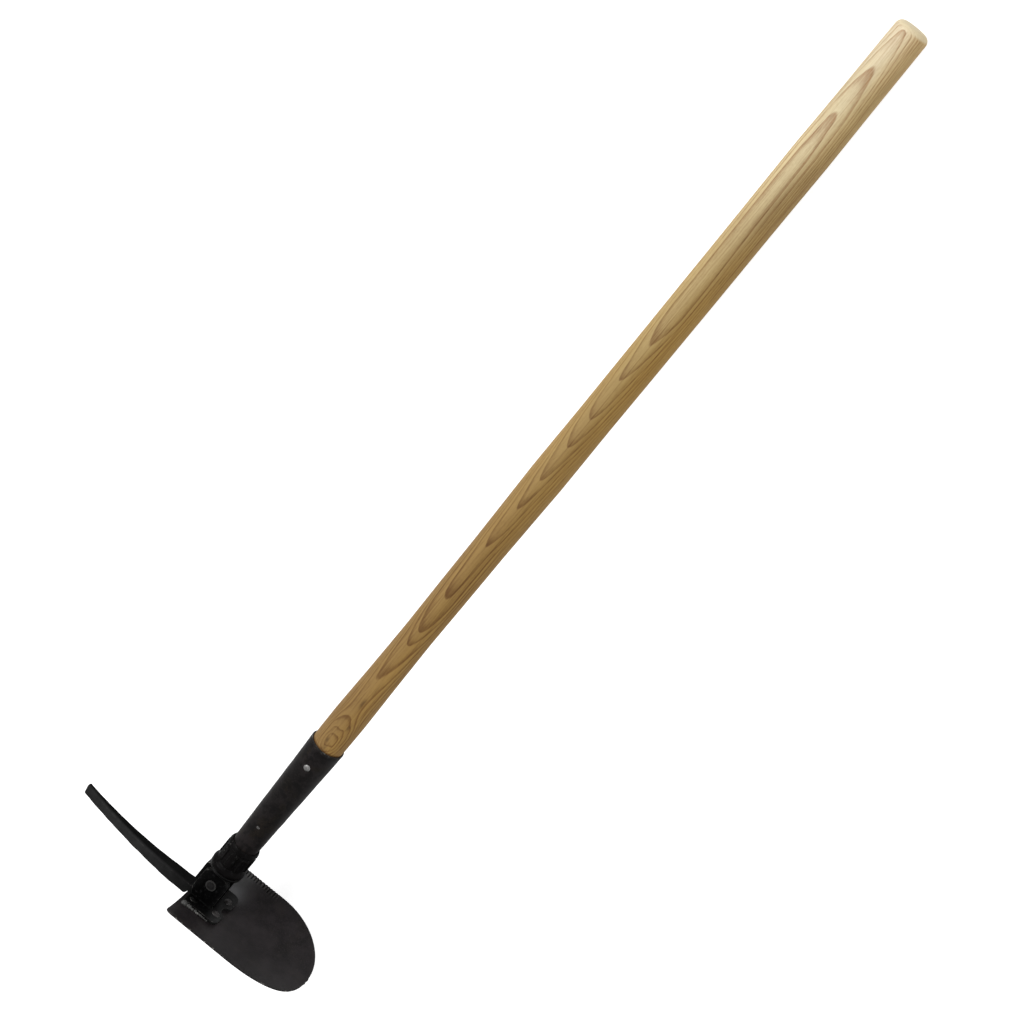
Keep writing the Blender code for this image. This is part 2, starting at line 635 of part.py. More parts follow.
def blade_bracket(finish, parent, bore):
    """Base plate that follows the blade, with two ears that stand up to the hinge pin."""
    back = BLADE_ROOT_REACH - BRACKET_BACK
    front = BLADE_ROOT_REACH - BRACKET_FRONT
    rows = []
    for step in range(4):
        down = back + (front - BRACKET_CORNER_RADIUS - back) * step / 3
        rows.append([(down, BRACKET_HALF_WIDTH * (-1 + column / 4)) for column in range(9)])
    for step in range(1, 5):
        angle = math.radians(20 * step)
        down = front - BRACKET_CORNER_RADIUS * (1 - math.sin(angle))
        half = BRACKET_HALF_WIDTH - BRACKET_CORNER_RADIUS * (1 - math.cos(angle))
        rows.append([(down, half * (-1 + column / 4)) for column in range(9)])
    bm = bmesh.new()
    skin(bm, rows, lambda down, across: GAP, lambda down, across: GAP + BRACKET_THICKNESS)
    body = shape("blade_bracket", bm, finish, parent)
    notch = PICK_EAR_OUT + 2 * GAP
    bm = bmesh.new()
    outline = [(-2 * BLADE_ROOT_DEPTH, BRACKET_NOTCH_START), (0.0, BRACKET_NOTCH_START)]
    outline += [(0.0, 3 * BRACKET_BACK), (-2 * BLADE_ROOT_DEPTH, 3 * BRACKET_BACK)]
    raised(bm, outline, -notch, notch)
    centre = BRACKET_FRONT + TOE_GAP_DEPTH - TOE_GAP_RADIUS
    turned(bm, rod(TOE_GAP_RADIUS, -2 * BLADE_ROOT_DEPTH, 0.0), Matrix.Translation((0, centre, 0)), 32)
    combine(body, shape("cut_bracket_gaps", bm, None, parent), "DIFFERENCE")
    foot = -BLADE_ROOT_DEPTH + GAP + BRACKET_THICKNESS * 0.75
    outline = [(foot, -CAM_FLAT)] + cam_corner(-1) + cam_corner(0)
    outline += [(-CAM_FLAT, CAM_FLAT), (foot, EAR_HEEL)]
    bm = bmesh.new()
    raised(bm, outline, BLADE_EAR_IN, BLADE_EAR_OUT)
    raised(bm, outline, -BLADE_EAR_OUT, -BLADE_EAR_IN)
    combine(body, shape("join_blade_ears", bm, None, parent), "UNION")
    combine(body, bore, "DIFFERENCE")
    return body


def bracket_rivets(finish, parent, plates):
    """Rivets through bracket and blade, standing square to the blade, and the holes they pass through."""
    seat = 2 * GAP + BRACKET_THICKNESS
    tail = BLADE_THICKNESS + GAP
    head = dome(seat, RIVET_HEAD_RADIUS, RIVET_HEAD_HEIGHT, 4)
    foot = [(-level, radius) for level, radius in dome(tail, RIVET_HEAD_RADIUS, RIVET_TAIL_HEIGHT, 3)]
    profile = foot[::-1] + [(-tail, RIVET_RADIUS), (seat, RIVET_RADIUS)] + head
    bm = bmesh.new()
    for reach, across in RIVET_PLACES:
        turned(bm, rod(RIVET_RADIUS + GAP, -10 * MM, 12 * MM), blade_place(reach, across), 16)
    holes = shape("cut_rivet_holes", bm, None, parent)
    for plate in plates:
        combine(plate, holes, "DIFFERENCE")
    for number, (reach, across) in enumerate(RIVET_PLACES, 1):
        bm = bmesh.new()
        turned(bm, profile, Matrix(), 20)
        rivet = shape(f"bracket_rivet_{number}", bm, finish, parent)
        rivet.matrix_local = blade_place(reach, across)


def weld_bead(name, side, finish, parent):
    """Rippled bead in the corner between the bracket's long edge and the blade."""
    bm = bmesh.new()
    start = BLADE_ROOT_REACH - BRACKET_BACK + GAP
    end = BLADE_ROOT_REACH - WELD_FRONT
    count = round((end - start) / WELD_STEP)
    rings = []
    for step in range(count + 1):
        down = start + (end - start) * step / count
        swell = 0.84 + 0.16 * math.cos(math.pi * step) if 0 < step < count else 0.45
        section = ((0.0, 0.0), (0.0, 1.0), (0.45, 0.86), (0.85, 0.45), (1.0, 0.0))
        ring = []
        for out, up in section:
            across = side * (BRACKET_HALF_WIDTH + GAP + out * WELD_WIDTH * swell)
            level = blade_level(down, across) + GAP + up * WELD_HEIGHT * swell
            ring.append(bm.verts.new((level, BLADE_ROOT_REACH - down, across)))
        rings.append(ring)
    bm.faces.new(rings[0])
    bm.faces.new(rings[-1])
    for ring, ahead in zip(rings, rings[1:]):
        for corner in range(5):
            after = (corner + 1) % 5
            bm.faces.new((ring[corner], ring[after], ahead[after], ahead[corner]))
    return shape(name, bm, finish, parent)


def lay_on_side(frame):
    """Lean the tool until the blade's edge and the butt touch the ground, then centre it over the origin."""
    depsgraph = bpy.context.evaluated_depsgraph_get()
    points = []
    for item in bpy.data.objects:
        if item.type == "MESH" and not item.hide_render:
            seen = item.evaluated_get(depsgraph)
            points += [seen.matrix_world @ vert.co for vert in seen.data.vertices]
    edge = min((point for point in points if point.x < SOCKET_FOOT), key=lambda point: (point.z, -point.x))
    behind = [point for point in points if point.x > SOCKET_MOUTH]
    slope = min((point.z - edge.z) / (point.x - edge.x) for point in behind)
    lean = Matrix.Rotation(math.atan(slope), 4, "Y")
    leaned = [lean @ point for point in points]
    low = Vector([min(point[axis] for point in leaned) for axis in range(3)])
    high = Vector([max(point[axis] for point in leaned) for axis in range(3)])
    middle = (low + high) / 2
    frame.matrix_world = Matrix.Translation((-middle.x, -middle.y, -low.z)) @ lean


def main():
    clear_scene()
    black = material("black_paint", (0.020, 0.020, 0.021), 0.55, 0.0)
    dark_steel = material("dark_steel", (0.030, 0.030, 0.031), 0.45, 0.6)
    bright = material("rivet_steel", (0.45, 0.45, 0.44), 0.35, 1.0)
    ash = material("ash_wood", (0.42, 0.28, 0.14), 0.5, 0.0)
    frame = empty("tool_frame", None)
    nut_axis = empty("nut_axis", frame)
    pick_axis = empty("pick_axis", frame)
    blade_axis = empty("blade_axis", pick_axis)

    handle = wood_handle(ash, frame)
    ferrule = socket(black, frame)
    _, rivet_hole = handle_rivet(bright, frame)
    fork = yoke(dark_steel, frame)
    _, pin_hole = yoke_pin(black, frame)
    combine(handle, rivet_hole, "DIFFERENCE")
    combine(ferrule, rivet_hole, "DIFFERENCE")
    combine(ferrule, pin_hole, "DIFFERENCE")
    combine(fork, pin_hole, "DIFFERENCE")
    thrust_washer(dark_steel, nut_axis)
    lock_nut(black, nut_axis)
    _, bore = hinge_pin(dark_steel, pick_axis)
    combine(fork, bore, "DIFFERENCE")
    pick(black, pick_axis, bore)
    plate = blade(black, blade_axis)
    bracket = blade_bracket(black, blade_axis, bore)
    bracket_rivets(dark_steel, blade_axis, (plate, bracket))
    weld_bead("weld_bead_near", 1, black, blade_axis)
    weld_bead("weld_bead_far", -1, black, blade_axis)

    bpy.context.view_layer.update()
    lay_on_side(frame)


main()
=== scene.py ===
import json
import math

import bmesh
import bpy
from mathutils import Matrix, Vector, noise

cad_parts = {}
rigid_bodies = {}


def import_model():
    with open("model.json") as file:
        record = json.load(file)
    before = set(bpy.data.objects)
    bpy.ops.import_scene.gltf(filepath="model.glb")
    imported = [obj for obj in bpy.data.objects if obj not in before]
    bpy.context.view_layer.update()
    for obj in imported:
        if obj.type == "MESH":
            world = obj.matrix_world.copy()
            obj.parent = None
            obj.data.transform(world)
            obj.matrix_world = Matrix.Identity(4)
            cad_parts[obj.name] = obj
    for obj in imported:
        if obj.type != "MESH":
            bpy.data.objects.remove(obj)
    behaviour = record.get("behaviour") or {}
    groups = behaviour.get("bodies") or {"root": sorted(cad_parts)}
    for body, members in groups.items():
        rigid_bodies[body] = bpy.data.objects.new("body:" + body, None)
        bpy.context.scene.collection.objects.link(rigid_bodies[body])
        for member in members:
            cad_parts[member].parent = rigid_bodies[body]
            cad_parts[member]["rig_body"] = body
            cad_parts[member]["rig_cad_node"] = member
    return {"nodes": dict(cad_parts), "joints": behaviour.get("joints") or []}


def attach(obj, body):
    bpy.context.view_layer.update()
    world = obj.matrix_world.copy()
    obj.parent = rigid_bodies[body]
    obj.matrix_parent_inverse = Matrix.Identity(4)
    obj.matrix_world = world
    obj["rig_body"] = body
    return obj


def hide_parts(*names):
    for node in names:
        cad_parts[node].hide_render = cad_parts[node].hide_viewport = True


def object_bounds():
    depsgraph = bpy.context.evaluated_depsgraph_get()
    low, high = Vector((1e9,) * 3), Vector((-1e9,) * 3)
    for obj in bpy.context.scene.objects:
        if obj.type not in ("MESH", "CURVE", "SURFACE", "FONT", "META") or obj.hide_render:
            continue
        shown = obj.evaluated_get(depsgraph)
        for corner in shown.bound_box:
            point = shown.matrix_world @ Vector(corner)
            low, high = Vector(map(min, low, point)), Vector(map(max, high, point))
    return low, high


MM = 0.001

# The dents, drops and saw marks are the same each run: unseeded, noise_vector starts from the clock
noise.seed_set(7)

# The tool's own directions, from its joints: up the handle, toward the pick and along the hinge pin
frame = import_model()
size_at_start = [list(corner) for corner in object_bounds()]
joints = {joint["name"]: joint for joint in frame["joints"]}
up_handle = Vector(joints["nut_spin"]["axis"]).normalized()
along_pin = Vector(joints["pick_hinge"]["axis"]).normalized()
toward_pick = along_pin.cross(up_handle)
lay = Matrix((up_handle, toward_pick, along_pin)).transposed().to_4x4()
lay.translation = Vector(joints["pick_hinge"]["pos_m"])
stand = lay.inverted()

# Photograph: how the camera is turned from the tool, where the hinge pin lies before it, and its lens
VIEW_TURN = math.radians(50.704)
VIEW_TILT = math.radians(-23.561)
VIEW_ROLL = math.radians(-4.880)
PIN_BEFORE_CAMERA = Vector((-331.96, -414.09, -2273.50)) * MM
FOCAL_PIXELS = 2022.6
PHOTO_PIXELS = 1024
SENSOR = 36.0

# From the handle's line to the hinge pin's, so that a piece's upper end points to the near or the far side
TO_NEAR_SIDE = Matrix.Rotation(-math.pi / 2, 4, "Y")
TO_FAR_SIDE = Matrix.Rotation(math.pi / 2, 4, "Y")


def node_points(node):
    """Corners of a CAD node from the hinge pin: X up the handle, Y toward the pick, Z along the pin."""
    return [stand @ vert.co for vert in frame["nodes"][node].data.vertices]


def reach(node, axis=0):
    """Lowest and highest place of a CAD node along one of the tool's directions."""
    places = [point[axis] for point in node_points(node)]
    return min(places), max(places)


def rings(node, sides=24):
    """Stations (along, radius) of a turned CAD node, where at least that many corners share a level."""
    found = {}
    for point in node_points(node):
        found.setdefault(round(point.x, 5), []).append(math.hypot(point.y, point.z))
    return [(along, max(radii)) for along, radii in sorted(found.items()) if len(radii) >= sides]


def widest(node, start, end):
    """Largest distance from the handle's line among a CAD node's corners between two levels."""
    return max(math.hypot(point.y, point.z) for point in node_points(node) if start <= point.x <= end)


# Modelling

def select_only(piece):
    bpy.ops.object.select_all(action="DESELECT")
    piece.select_set(True)
    bpy.context.view_layer.objects.active = piece


def open_edit(piece):
    select_only(piece)
    bpy.ops.object.mode_set(mode="EDIT")


def close_edit():
    bpy.ops.object.mode_set(mode="OBJECT")


def select_faces(piece, wanted):
    """In edit mode, select the faces that a test on their middle accepts."""
    bpy.ops.mesh.select_mode(type="FACE")
    bm = bmesh.from_edit_mesh(piece.data)
    for face in bm.faces:
        face.select_set(wanted(face.calc_center_median()))
    bmesh.update_edit_mesh(piece.data)


def select_rims(piece):
    """In edit mode, select the open edges."""
    bpy.ops.mesh.select_mode(type="EDGE")
    bm = bmesh.from_edit_mesh(piece.data)
    for face in bm.faces:
        face.select_set(False)
    for edge in bm.edges:
        edge.select_set(edge.is_boundary)
    bmesh.update_edit_mesh(piece.data)


def turned(name, stations, sides=64, ring=False):
    """Turn a piece on the handle's line: a circle is extruded and resized from station to station."""
    along, radius = stations[0]
    bpy.ops.object.select_all(action="DESELECT")
    bpy.ops.mesh.primitive_circle_add(
        vertices=sides, radius=radius, location=(along, 0, 0), rotation=(0, math.pi / 2, 0)
    )
    piece = bpy.context.object
    piece.name = name
    bpy.ops.object.transform_apply(location=True, rotation=True, scale=True)
    bpy.ops.object.mode_set(mode="EDIT")
    bpy.ops.mesh.select_all(action="SELECT")
    for next_along, next_radius in stations[1:]:
        bpy.ops.mesh.extrude_region_move(TRANSFORM_OT_translate={"value": (next_along - along, 0, 0)})
        size = next_radius / radius
        bpy.ops.transform.resize(value=(1, size, size), center_override=(next_along, 0, 0))
        along, radius = next_along, next_radius
    select_rims(piece)
    if ring:
        bpy.ops.mesh.bridge_edge_loops()
    else:
        bpy.ops.mesh.fill_holes(sides=0)
    bpy.ops.mesh.select_all(action="SELECT")
    bpy.ops.mesh.normals_make_consistent(inside=False)
    close_edit()
    return piece


def dome(seat, radius, height, steps=7):
    """Stations of a round head that rises from its seat, from the rim to a small flat at the crown."""
    ball = (radius**2 + height**2) / (2 * height)
    spread = math.asin(radius / ball)
    angles = [spread * (1 - step / steps) for step in range(steps)] + [spread / steps / 4]
    return [(seat + height - ball * (1 - math.cos(angle)), ball * math.sin(angle)) for angle in angles]


def apply_modifier(piece, kind, **settings):
    modifier = piece.modifiers.new(kind.lower(), kind)
    for name, value in settings.items():
        setattr(modifier, name, value)
    select_only(piece)
    bpy.ops.object.modifier_apply(modifier=modifier.name)


def forged(name, node, grain, rounds, kept=1.0):
    """Copy a CAD node in the tool's own directions, and round it all over as a forging is."""
    piece = frame["nodes"][node].copy()
    piece.data = piece.data.copy()
    piece.name = name
    piece.parent = None
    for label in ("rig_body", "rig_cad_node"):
        del piece[label]
    bpy.context.scene.collection.objects.link(piece)
    piece.data.transform(stand)
    open_edit(piece)
    bpy.ops.mesh.select_all(action="SELECT")
    bpy.ops.mesh.remove_doubles(threshold=0.001 * MM)
    close_edit()
    piece.data.materials.clear()
    apply_modifier(piece, "REMESH", mode="VOXEL", voxel_size=grain, use_smooth_shade=True)
    apply_modifier(piece, "SMOOTH", factor=0.5, iterations=rounds)
    if kept < 1.0:
        apply_modifier(piece, "DECIMATE", ratio=kept)
    return piece


def move_corners(piece, shift):
    """Move each corner along its normal by a distance worked out from its place."""
    moved = [vert.co + vert.normal * shift(vert.co) for vert in piece.data.vertices]
    for vert, place in zip(piece.data.vertices, moved):
        vert.co = place
    piece.data.update()


def unevenness(size, depth):
    """Distance to move a corner, as worked metal is uneven: lumps of one size, to a depth."""
    return lambda place: depth * noise.noise(place / size)


def fit(piece, finish, body, nodes, angle=40):
    """Lay a piece where the tool lies, give it its finish, and let it stand for its CAD nodes."""
    select_only(piece)
    bpy.ops.object.shade_smooth_by_angle(angle=math.radians(angle))
    piece.data.transform(lay)
    for vert in piece.data.vertices:
        vert.co.z = max(vert.co.z, size_at_start[0][2])
    piece.data.materials.clear()
    piece.data.materials.append(finish)
    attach(piece, body)
    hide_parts(*nodes)


# Materials

def srgb(*levels):
    """Linear colour of three levels from 0 to 255."""
    shares = [level / 255 for level in levels]
    return tuple(share / 12.92 if share < 0.04045 else ((share + 0.055) / 1.055) ** 2.4 for share in shares)


class Value:
    """A number that varies from place to place; sums and products of it add Math nodes."""

    def __init__(self, shading, socket):
        self.shading = shading
        self.socket = socket

    def __add__(self, other):
        return self.shading.math("ADD", self, other)

    def __sub__(self, other):
        return self.shading.math("SUBTRACT", self, other)

    def __rsub__(self, other):
        return self.shading.math("SUBTRACT", other, self)

    def __mul__(self, other):
        return self.shading.math("MULTIPLY", self, other)

    def __truediv__(self, other):
        return self.shading.math("DIVIDE", self, other)

    def __pow__(self, other):
        return self.shading.math("POWER", self, other)

    __radd__ = __add__
    __rmul__ = __mul__


class Shading:
    """The nodes of a material or of the air round the tool."""

    def __init__(self, tree):
        self.tree = tree

    def node(self, kind, settings=None, sockets=None):
        """Add a node of a type: its settings first, then the values or links of its sockets."""
        made = self.tree.nodes.new(kind)
        for name, value in (settings or {}).items():
            if name == "stops":
                while len(made.color_ramp.elements) < len(value):
                    made.color_ramp.elements.new(1.0)
                for element, (place, colour) in zip(made.color_ramp.elements, value):
                    element.position = place
                    element.color = (*colour, 1.0)
            else:
                setattr(made, name, value)
        for name, value in (sockets or {}).items():
            self.put(made.inputs[name], value)
        return made

    def put(self, socket, value):
        if isinstance(value, Value):
            value = value.socket
        if isinstance(value, bpy.types.NodeSocket):
            self.tree.links.new(value, socket)
        elif isinstance(value, tuple) and socket.type == "RGBA":
            socket.default_value = (*value, 1.0)
        else:
            socket.default_value = value

    def math(self, operation, *values):
        made = self.node("ShaderNodeMath", {"operation": operation}, dict(enumerate(values)))
        return Value(self, made.outputs[0])

    def ray_kinds(self):
        """Whether the camera sees this place, and whether metal or glass shows it: each 0 or 1."""
        rays = self.node("ShaderNodeLightPath").outputs
        kinds = ("Is Camera Ray", "Is Glossy Ray", "Is Transmission Ray")
        seen, metal, glass = (Value(self, rays[kind]) for kind in kinds)
        return seen, self.math("MAXIMUM", metal, glass)


class Finish(Shading):
    """One material of the tool, with its shader and the nodes behind it."""

    def __init__(self, name):
        self.material = bpy.data.materials.new(name)
        self.material.use_nodes = True
        super().__init__(self.material.node_tree)
        self.shader = self.tree.nodes["Principled BSDF"]

    def place(self):
        """Place in millimetres from the hinge pin: up the handle, toward the pick, along the pin."""
        known = self.node("ShaderNodeTexCoord").outputs["Object"]
        sockets = {
            "Vector": known,
            "Location": tuple(stand.translation / MM),
            "Rotation": tuple(stand.to_euler()),
            "Scale": (1 / MM, 1 / MM, 1 / MM),
        }
        self.spot = self.node("ShaderNodeMapping", None, sockets).outputs["Vector"]
        parts = self.node("ShaderNodeSeparateXYZ", None, {"Vector": self.spot}).outputs
        return [Value(self, part) for part in parts]

    def join(self, x, y, z):
        return self.node("ShaderNodeCombineXYZ", None, {"X": x, "Y": y, "Z": z}).outputs["Vector"]

    def noise(self, where, size, detail=3.0, rough=0.55):
        """Cloudy pattern from 0 to 1 whose lumps are about the given size."""
        sockets = {"Vector": where, "Scale": 1 / size, "Detail": detail, "Roughness": rough}
        return Value(self, self.node("ShaderNodeTexNoise", None, sockets).outputs[0])

    def ramp(self, share, *stops):
        """Colour for a share from 0 to 1, between stops of (share, colour)."""
        return self.node("ShaderNodeValToRGB", {"stops": stops}, {"Fac": share}).outputs[0]

    def edges(self):
        """How sharply the surface turns outward: about 0.5 where it is flat."""
        return Value(self, self.node("ShaderNodeNewGeometry").outputs["Pointiness"])

    def marked(self, name):
        """What the piece's own attribute of that name holds."""
        settings = {"attribute_name": name, "attribute_type": "GEOMETRY"}
        return Value(self, self.node("ShaderNodeAttribute", settings).outputs["Fac"])

    def between(self, value, low, high, start=0.0, end=1.0):
        """Ease a value from start to end as it goes from low to high."""
        sockets = {0: value, 1: low, 2: high, 3: start, 4: end}
        made = self.node("ShaderNodeMapRange", {"interpolation_type": "SMOOTHSTEP"}, sockets)
        return Value(self, made.outputs[0])

    def bump_shape(self, value, centre, width):
        """A hill of height 1 round a centre, with a width."""
        return self.math("EXPONENT", ((value - centre) / width) ** 2 * -1)

    def mix(self, share, first, second, blend="MIX"):
        settings = {"data_type": "RGBA", "blend_type": blend}
        return self.node("ShaderNodeMix", settings, {0: share, 6: first, 7: second}).outputs[2]

    def bump(self, height, strength, distance):
        sockets = {"Height": height, "Strength": strength, "Distance": distance}
        self.put(self.shader.inputs["Normal"], self.node("ShaderNodeBump", None, sockets).outputs[0])

    def set(self, **sockets):
        for name, value in sockets.items():
            self.put(self.shader.inputs[name.replace("_", " ")], value)


# Places on the ash in millimetres up the handle from the hinge pin, read along its near face
KNOT = 245.0
HILL = 436.0
HOLLOW = 640.0
PLAIN_START = 860.0
PLAIN_END = 1082.0

# How the tree lay in the ash (mm): its middle under the near face, a year's growth, lean and twist
HEART_DEPTH = 60.0
YEAR = 1.95
LEAN = 0.043
LEAN_SOFTNESS = 12.0
FIRST_YEAR = 0.44
TWIST = math.radians(25)
TWIST_AT_MOUTH = math.radians(-5)

# Where the dark flecks lie: up the handle, across it, half length, half breadth (mm), and how dark
DARK_FLECKS = (
    (307.0, -1.5, 7.0, 1.5, 0.65),
    (273.0, -6.0, 5.0, 1.3, 0.50),
    (330.0, -4.0, 10.0, 0.8, 0.35),
    (246.0, 4.0, 3.5, 1.8, 0.55),
    (236.0, 1.0, 3.0, 1.5, 0.45),
)


def ash_wood():
    """Oiled ash: nested arches of coarse pores on the near face, fine lines on the sides, and one knot."""
    wood = Finish("oiled_ash")
    x, y, z = wood.place()
    butt = rings("wood_handle")[-1][0] / MM
    mouth = reach("socket")[1] / MM

    # Distance from the tree's middle, which lies some way under the near face and leans along the handle
    turn = (x - mouth) * (TWIST / (butt - mouth)) + TWIST_AT_MOUTH
    cosine = wood.math("COSINE", turn)
    sine = wood.math("SINE", turn)
    rise = y * sine + z * cosine
    across = y * cosine - z * sine
    sway = wood.noise(wood.join(x * 0.007, y * 0.045, z * 0.045), 1.0, 1.5, 0.4)
    swayed = sway * 4.5 * wood.between(x, 900, 700, 0.45, 1.0)
    from_middle = wood.math("SQRT", (rise + HEART_DEPTH) ** 2 + across**2) - HEART_DEPTH
    past_plain = wood.math("MAXIMUM", wood.math("MAXIMUM", PLAIN_START - x, x - PLAIN_END), 0.0)
    lean = wood.math("SQRT", past_plain**2 + LEAN_SOFTNESS**2) * LEAN
    swirl = wood.noise(wood.join(x * 0.05, y * 0.10, z * 0.10), 1.0, 2.0, 0.5)
    round_knot = wood.bump_shape(x, KNOT, 32) * wood.bump_shape(across, -0.5, 24)
    knot = round_knot * ((swirl - 0.5) * 5.0 + 8.2)
    waves = wood.bump_shape(x, HILL, 86) * 1.65 - wood.bump_shape(x, HOLLOW, 68) * 2.2
    growth = from_middle - lean + swayed + waves + knot + FIRST_YEAR
    weather = wood.noise(wood.join(x * 0.0025, growth * 0.3, 0.0), 1.0, 2.0)
    season = wood.math("FRACT", growth / YEAR + weather * 1.2)
    early = Value(wood, wood.ramp(
        season,
        (0.0, (0.15, 0.15, 0.15)),
        (0.045, (1.0, 1.0, 1.0)),
        (0.12, (0.80, 0.80, 0.80)),
        (0.36, (0.24, 0.24, 0.24)),
        (1.0, (0.0, 0.0, 0.0)),
    ))

    # Pores are short dark dashes along the grain, thick in the early wood
    dashes = wood.noise(wood.join(x * 0.09, y * 1.9, z * 1.9), 1.0, 2.0, 0.6)
    pores = wood.between(dashes, 0.50, 0.68) * (early * 0.80 + 0.20)
    fibre = wood.noise(wood.join(x * 0.030, y * 1.7, z * 1.7), 1.0, 5.0, 0.75)
    streak = wood.noise(wood.join(x * 0.004, y * 0.60, z * 0.60), 1.0, 3.0, 0.65)
    line = wood.between(wood.noise(wood.join(x * 0.0035, y * 0.85, z * 0.85), 1.0, 2.0), 0.56, 0.66)
    speckle = wood.noise(wood.join(x * 0.35, y * 0.9, z * 0.9), 1.0, 3.0, 0.7)
    cloud = wood.noise(wood.join(x * 0.012, y * 0.06, z * 0.06), 1.0, 2.0)

    # Late and early wood, both paler toward the butt
    along = (x - mouth) / (butt - mouth)
    pale = wood.ramp(
        along,
        (0.0, srgb(142, 113, 67)),
        (0.35, srgb(150, 121, 71)),
        (0.58, srgb(162, 138, 89)),
        (0.72, srgb(176, 155, 110)),
        (0.92, srgb(203, 189, 154)),
        (1.0, srgb(214, 200, 170)),
    )
    deep = wood.ramp(
        along,
        (0.0, srgb(96, 65, 32)),
        (0.35, srgb(100, 69, 34)),
        (0.70, srgb(122, 91, 54)),
        (1.0, srgb(166, 133, 99)),
    )
    tongue = wood.between(season, 0.70, 0.05) * wood.between(x, 600, 470)
    knot_side = wood.between(across, -1.0, 7.0) * wood.between(x, 275, 250)
    crisp = wood.between(x, 340, 600, 0.44, 0.82) - knot_side * 0.26
    shade = early * crisp + (fibre - 0.5) * 1.5 + (streak - 0.5) * 0.8 + (speckle - 0.5) * 0.7
    colour = wood.mix(shade + line * 0.42 + tongue * 0.38, pale, deep)
    colour = wood.mix(pores * 0.45, colour, srgb(78, 53, 30))
    colour = wood.mix(wood.between(cloud, 0.42, 0.75) * 0.16, colour, srgb(110, 80, 44))

    # Painted shade and light by side: painted shade makes the side away from the pick browner, toward the
    # butt above all, painted fill light makes that side lighter toward the mouth, a stripe of painted shade
    # runs along the middle, and painted light makes the pick's side pale
    painted_shade_far_side = wood.between(y, 7.0, -15.0) * wood.between(x, 520, 900)
    colour = wood.mix(painted_shade_far_side * 0.85, colour, (0.80, 0.66, 0.40), "MULTIPLY")
    painted_fill_light = wood.between(y, 4.0, -12.0) * wood.between(x, 1020, 780)
    colour = wood.mix(painted_fill_light, colour, (1.24, 1.20, 1.0), "MULTIPLY")
    shaded = wood.bump_shape(y, -5.0, 6.5) * wood.between(x, 340, 460) * wood.between(x, 1080, 980)
    colour = wood.mix(shaded, colour, (0.82, 0.81, 0.80), "MULTIPLY")
    flank = wood.between(y, 9.0, 15.0) * wood.between(x, 580, 660) * wood.between(x, 1120, 1040)
    colour = wood.mix(flank, colour, (1.15, 1.14, 1.10), "MULTIPLY")

    # Dark flecks above the knot, a damp line at the socket's mouth, and pale end grain
    for fleck_x, fleck_across, length, breadth, share in DARK_FLECKS:
        fleck = wood.bump_shape(x, fleck_x, length) * wood.bump_shape(across, fleck_across, breadth)
        colour = wood.mix(fleck * share, colour, srgb(62, 40, 22))
    colour = wood.mix(wood.bump_shape(x, mouth, 1.6) * 0.70, colour, srgb(66, 38, 18))
    end_grain = wood.between(x, butt - 5.5, butt - 3.0)
    colour = wood.mix(end_grain * 0.75, colour, srgb(208, 194, 160))
    rough = pores * 0.16 + (cloud - 0.5) * 0.14 + 0.56
    wood.set(Base_Color=colour, Roughness=rough, Specular_IOR_Level=0.18)
    wood.bump(early * -0.35 - pores * 0.9 + fibre * 0.35, 0.35, 0.00025)
    return wood.material


# Colours in the black paint and under it, and of its painted sheen, glints and shade
BARE_STEEL = srgb(150, 147, 143)
SCUFF_GREY = srgb(52, 51, 50)
RUBBED_GREY = srgb(58, 56, 55)
FLECK_AND_GLINT_GREY = srgb(52, 52, 53)
LAND_GREY = srgb(76, 74, 72)
GULLET_SHADE_BLACK = srgb(1, 1, 1)
SHEEN_GREY = srgb(96, 96, 98)

# Faces painted lighter grey as painted light and sheen: the hill along Y (centre, width), the edge along Z
# (start, full), a taper and a level
LIT_NEAR_FACE_OF_PICK = ((122.0, 92.0), (5.5, 10.6), 0.0391, 47)
SHEEN_ON_FAR_SIDE_OF_BLADE = ((-16.0, 17.0), (-14.0, -36.0), 0.0, 55)
LIT_TOE_OF_BRACKET = ((-32.0, 11.0), (40.0, 30.0), 0.0, 40)


def tint(tone, share):
    """A tone made lighter or darker."""
    return tuple(level * share for level in tone)


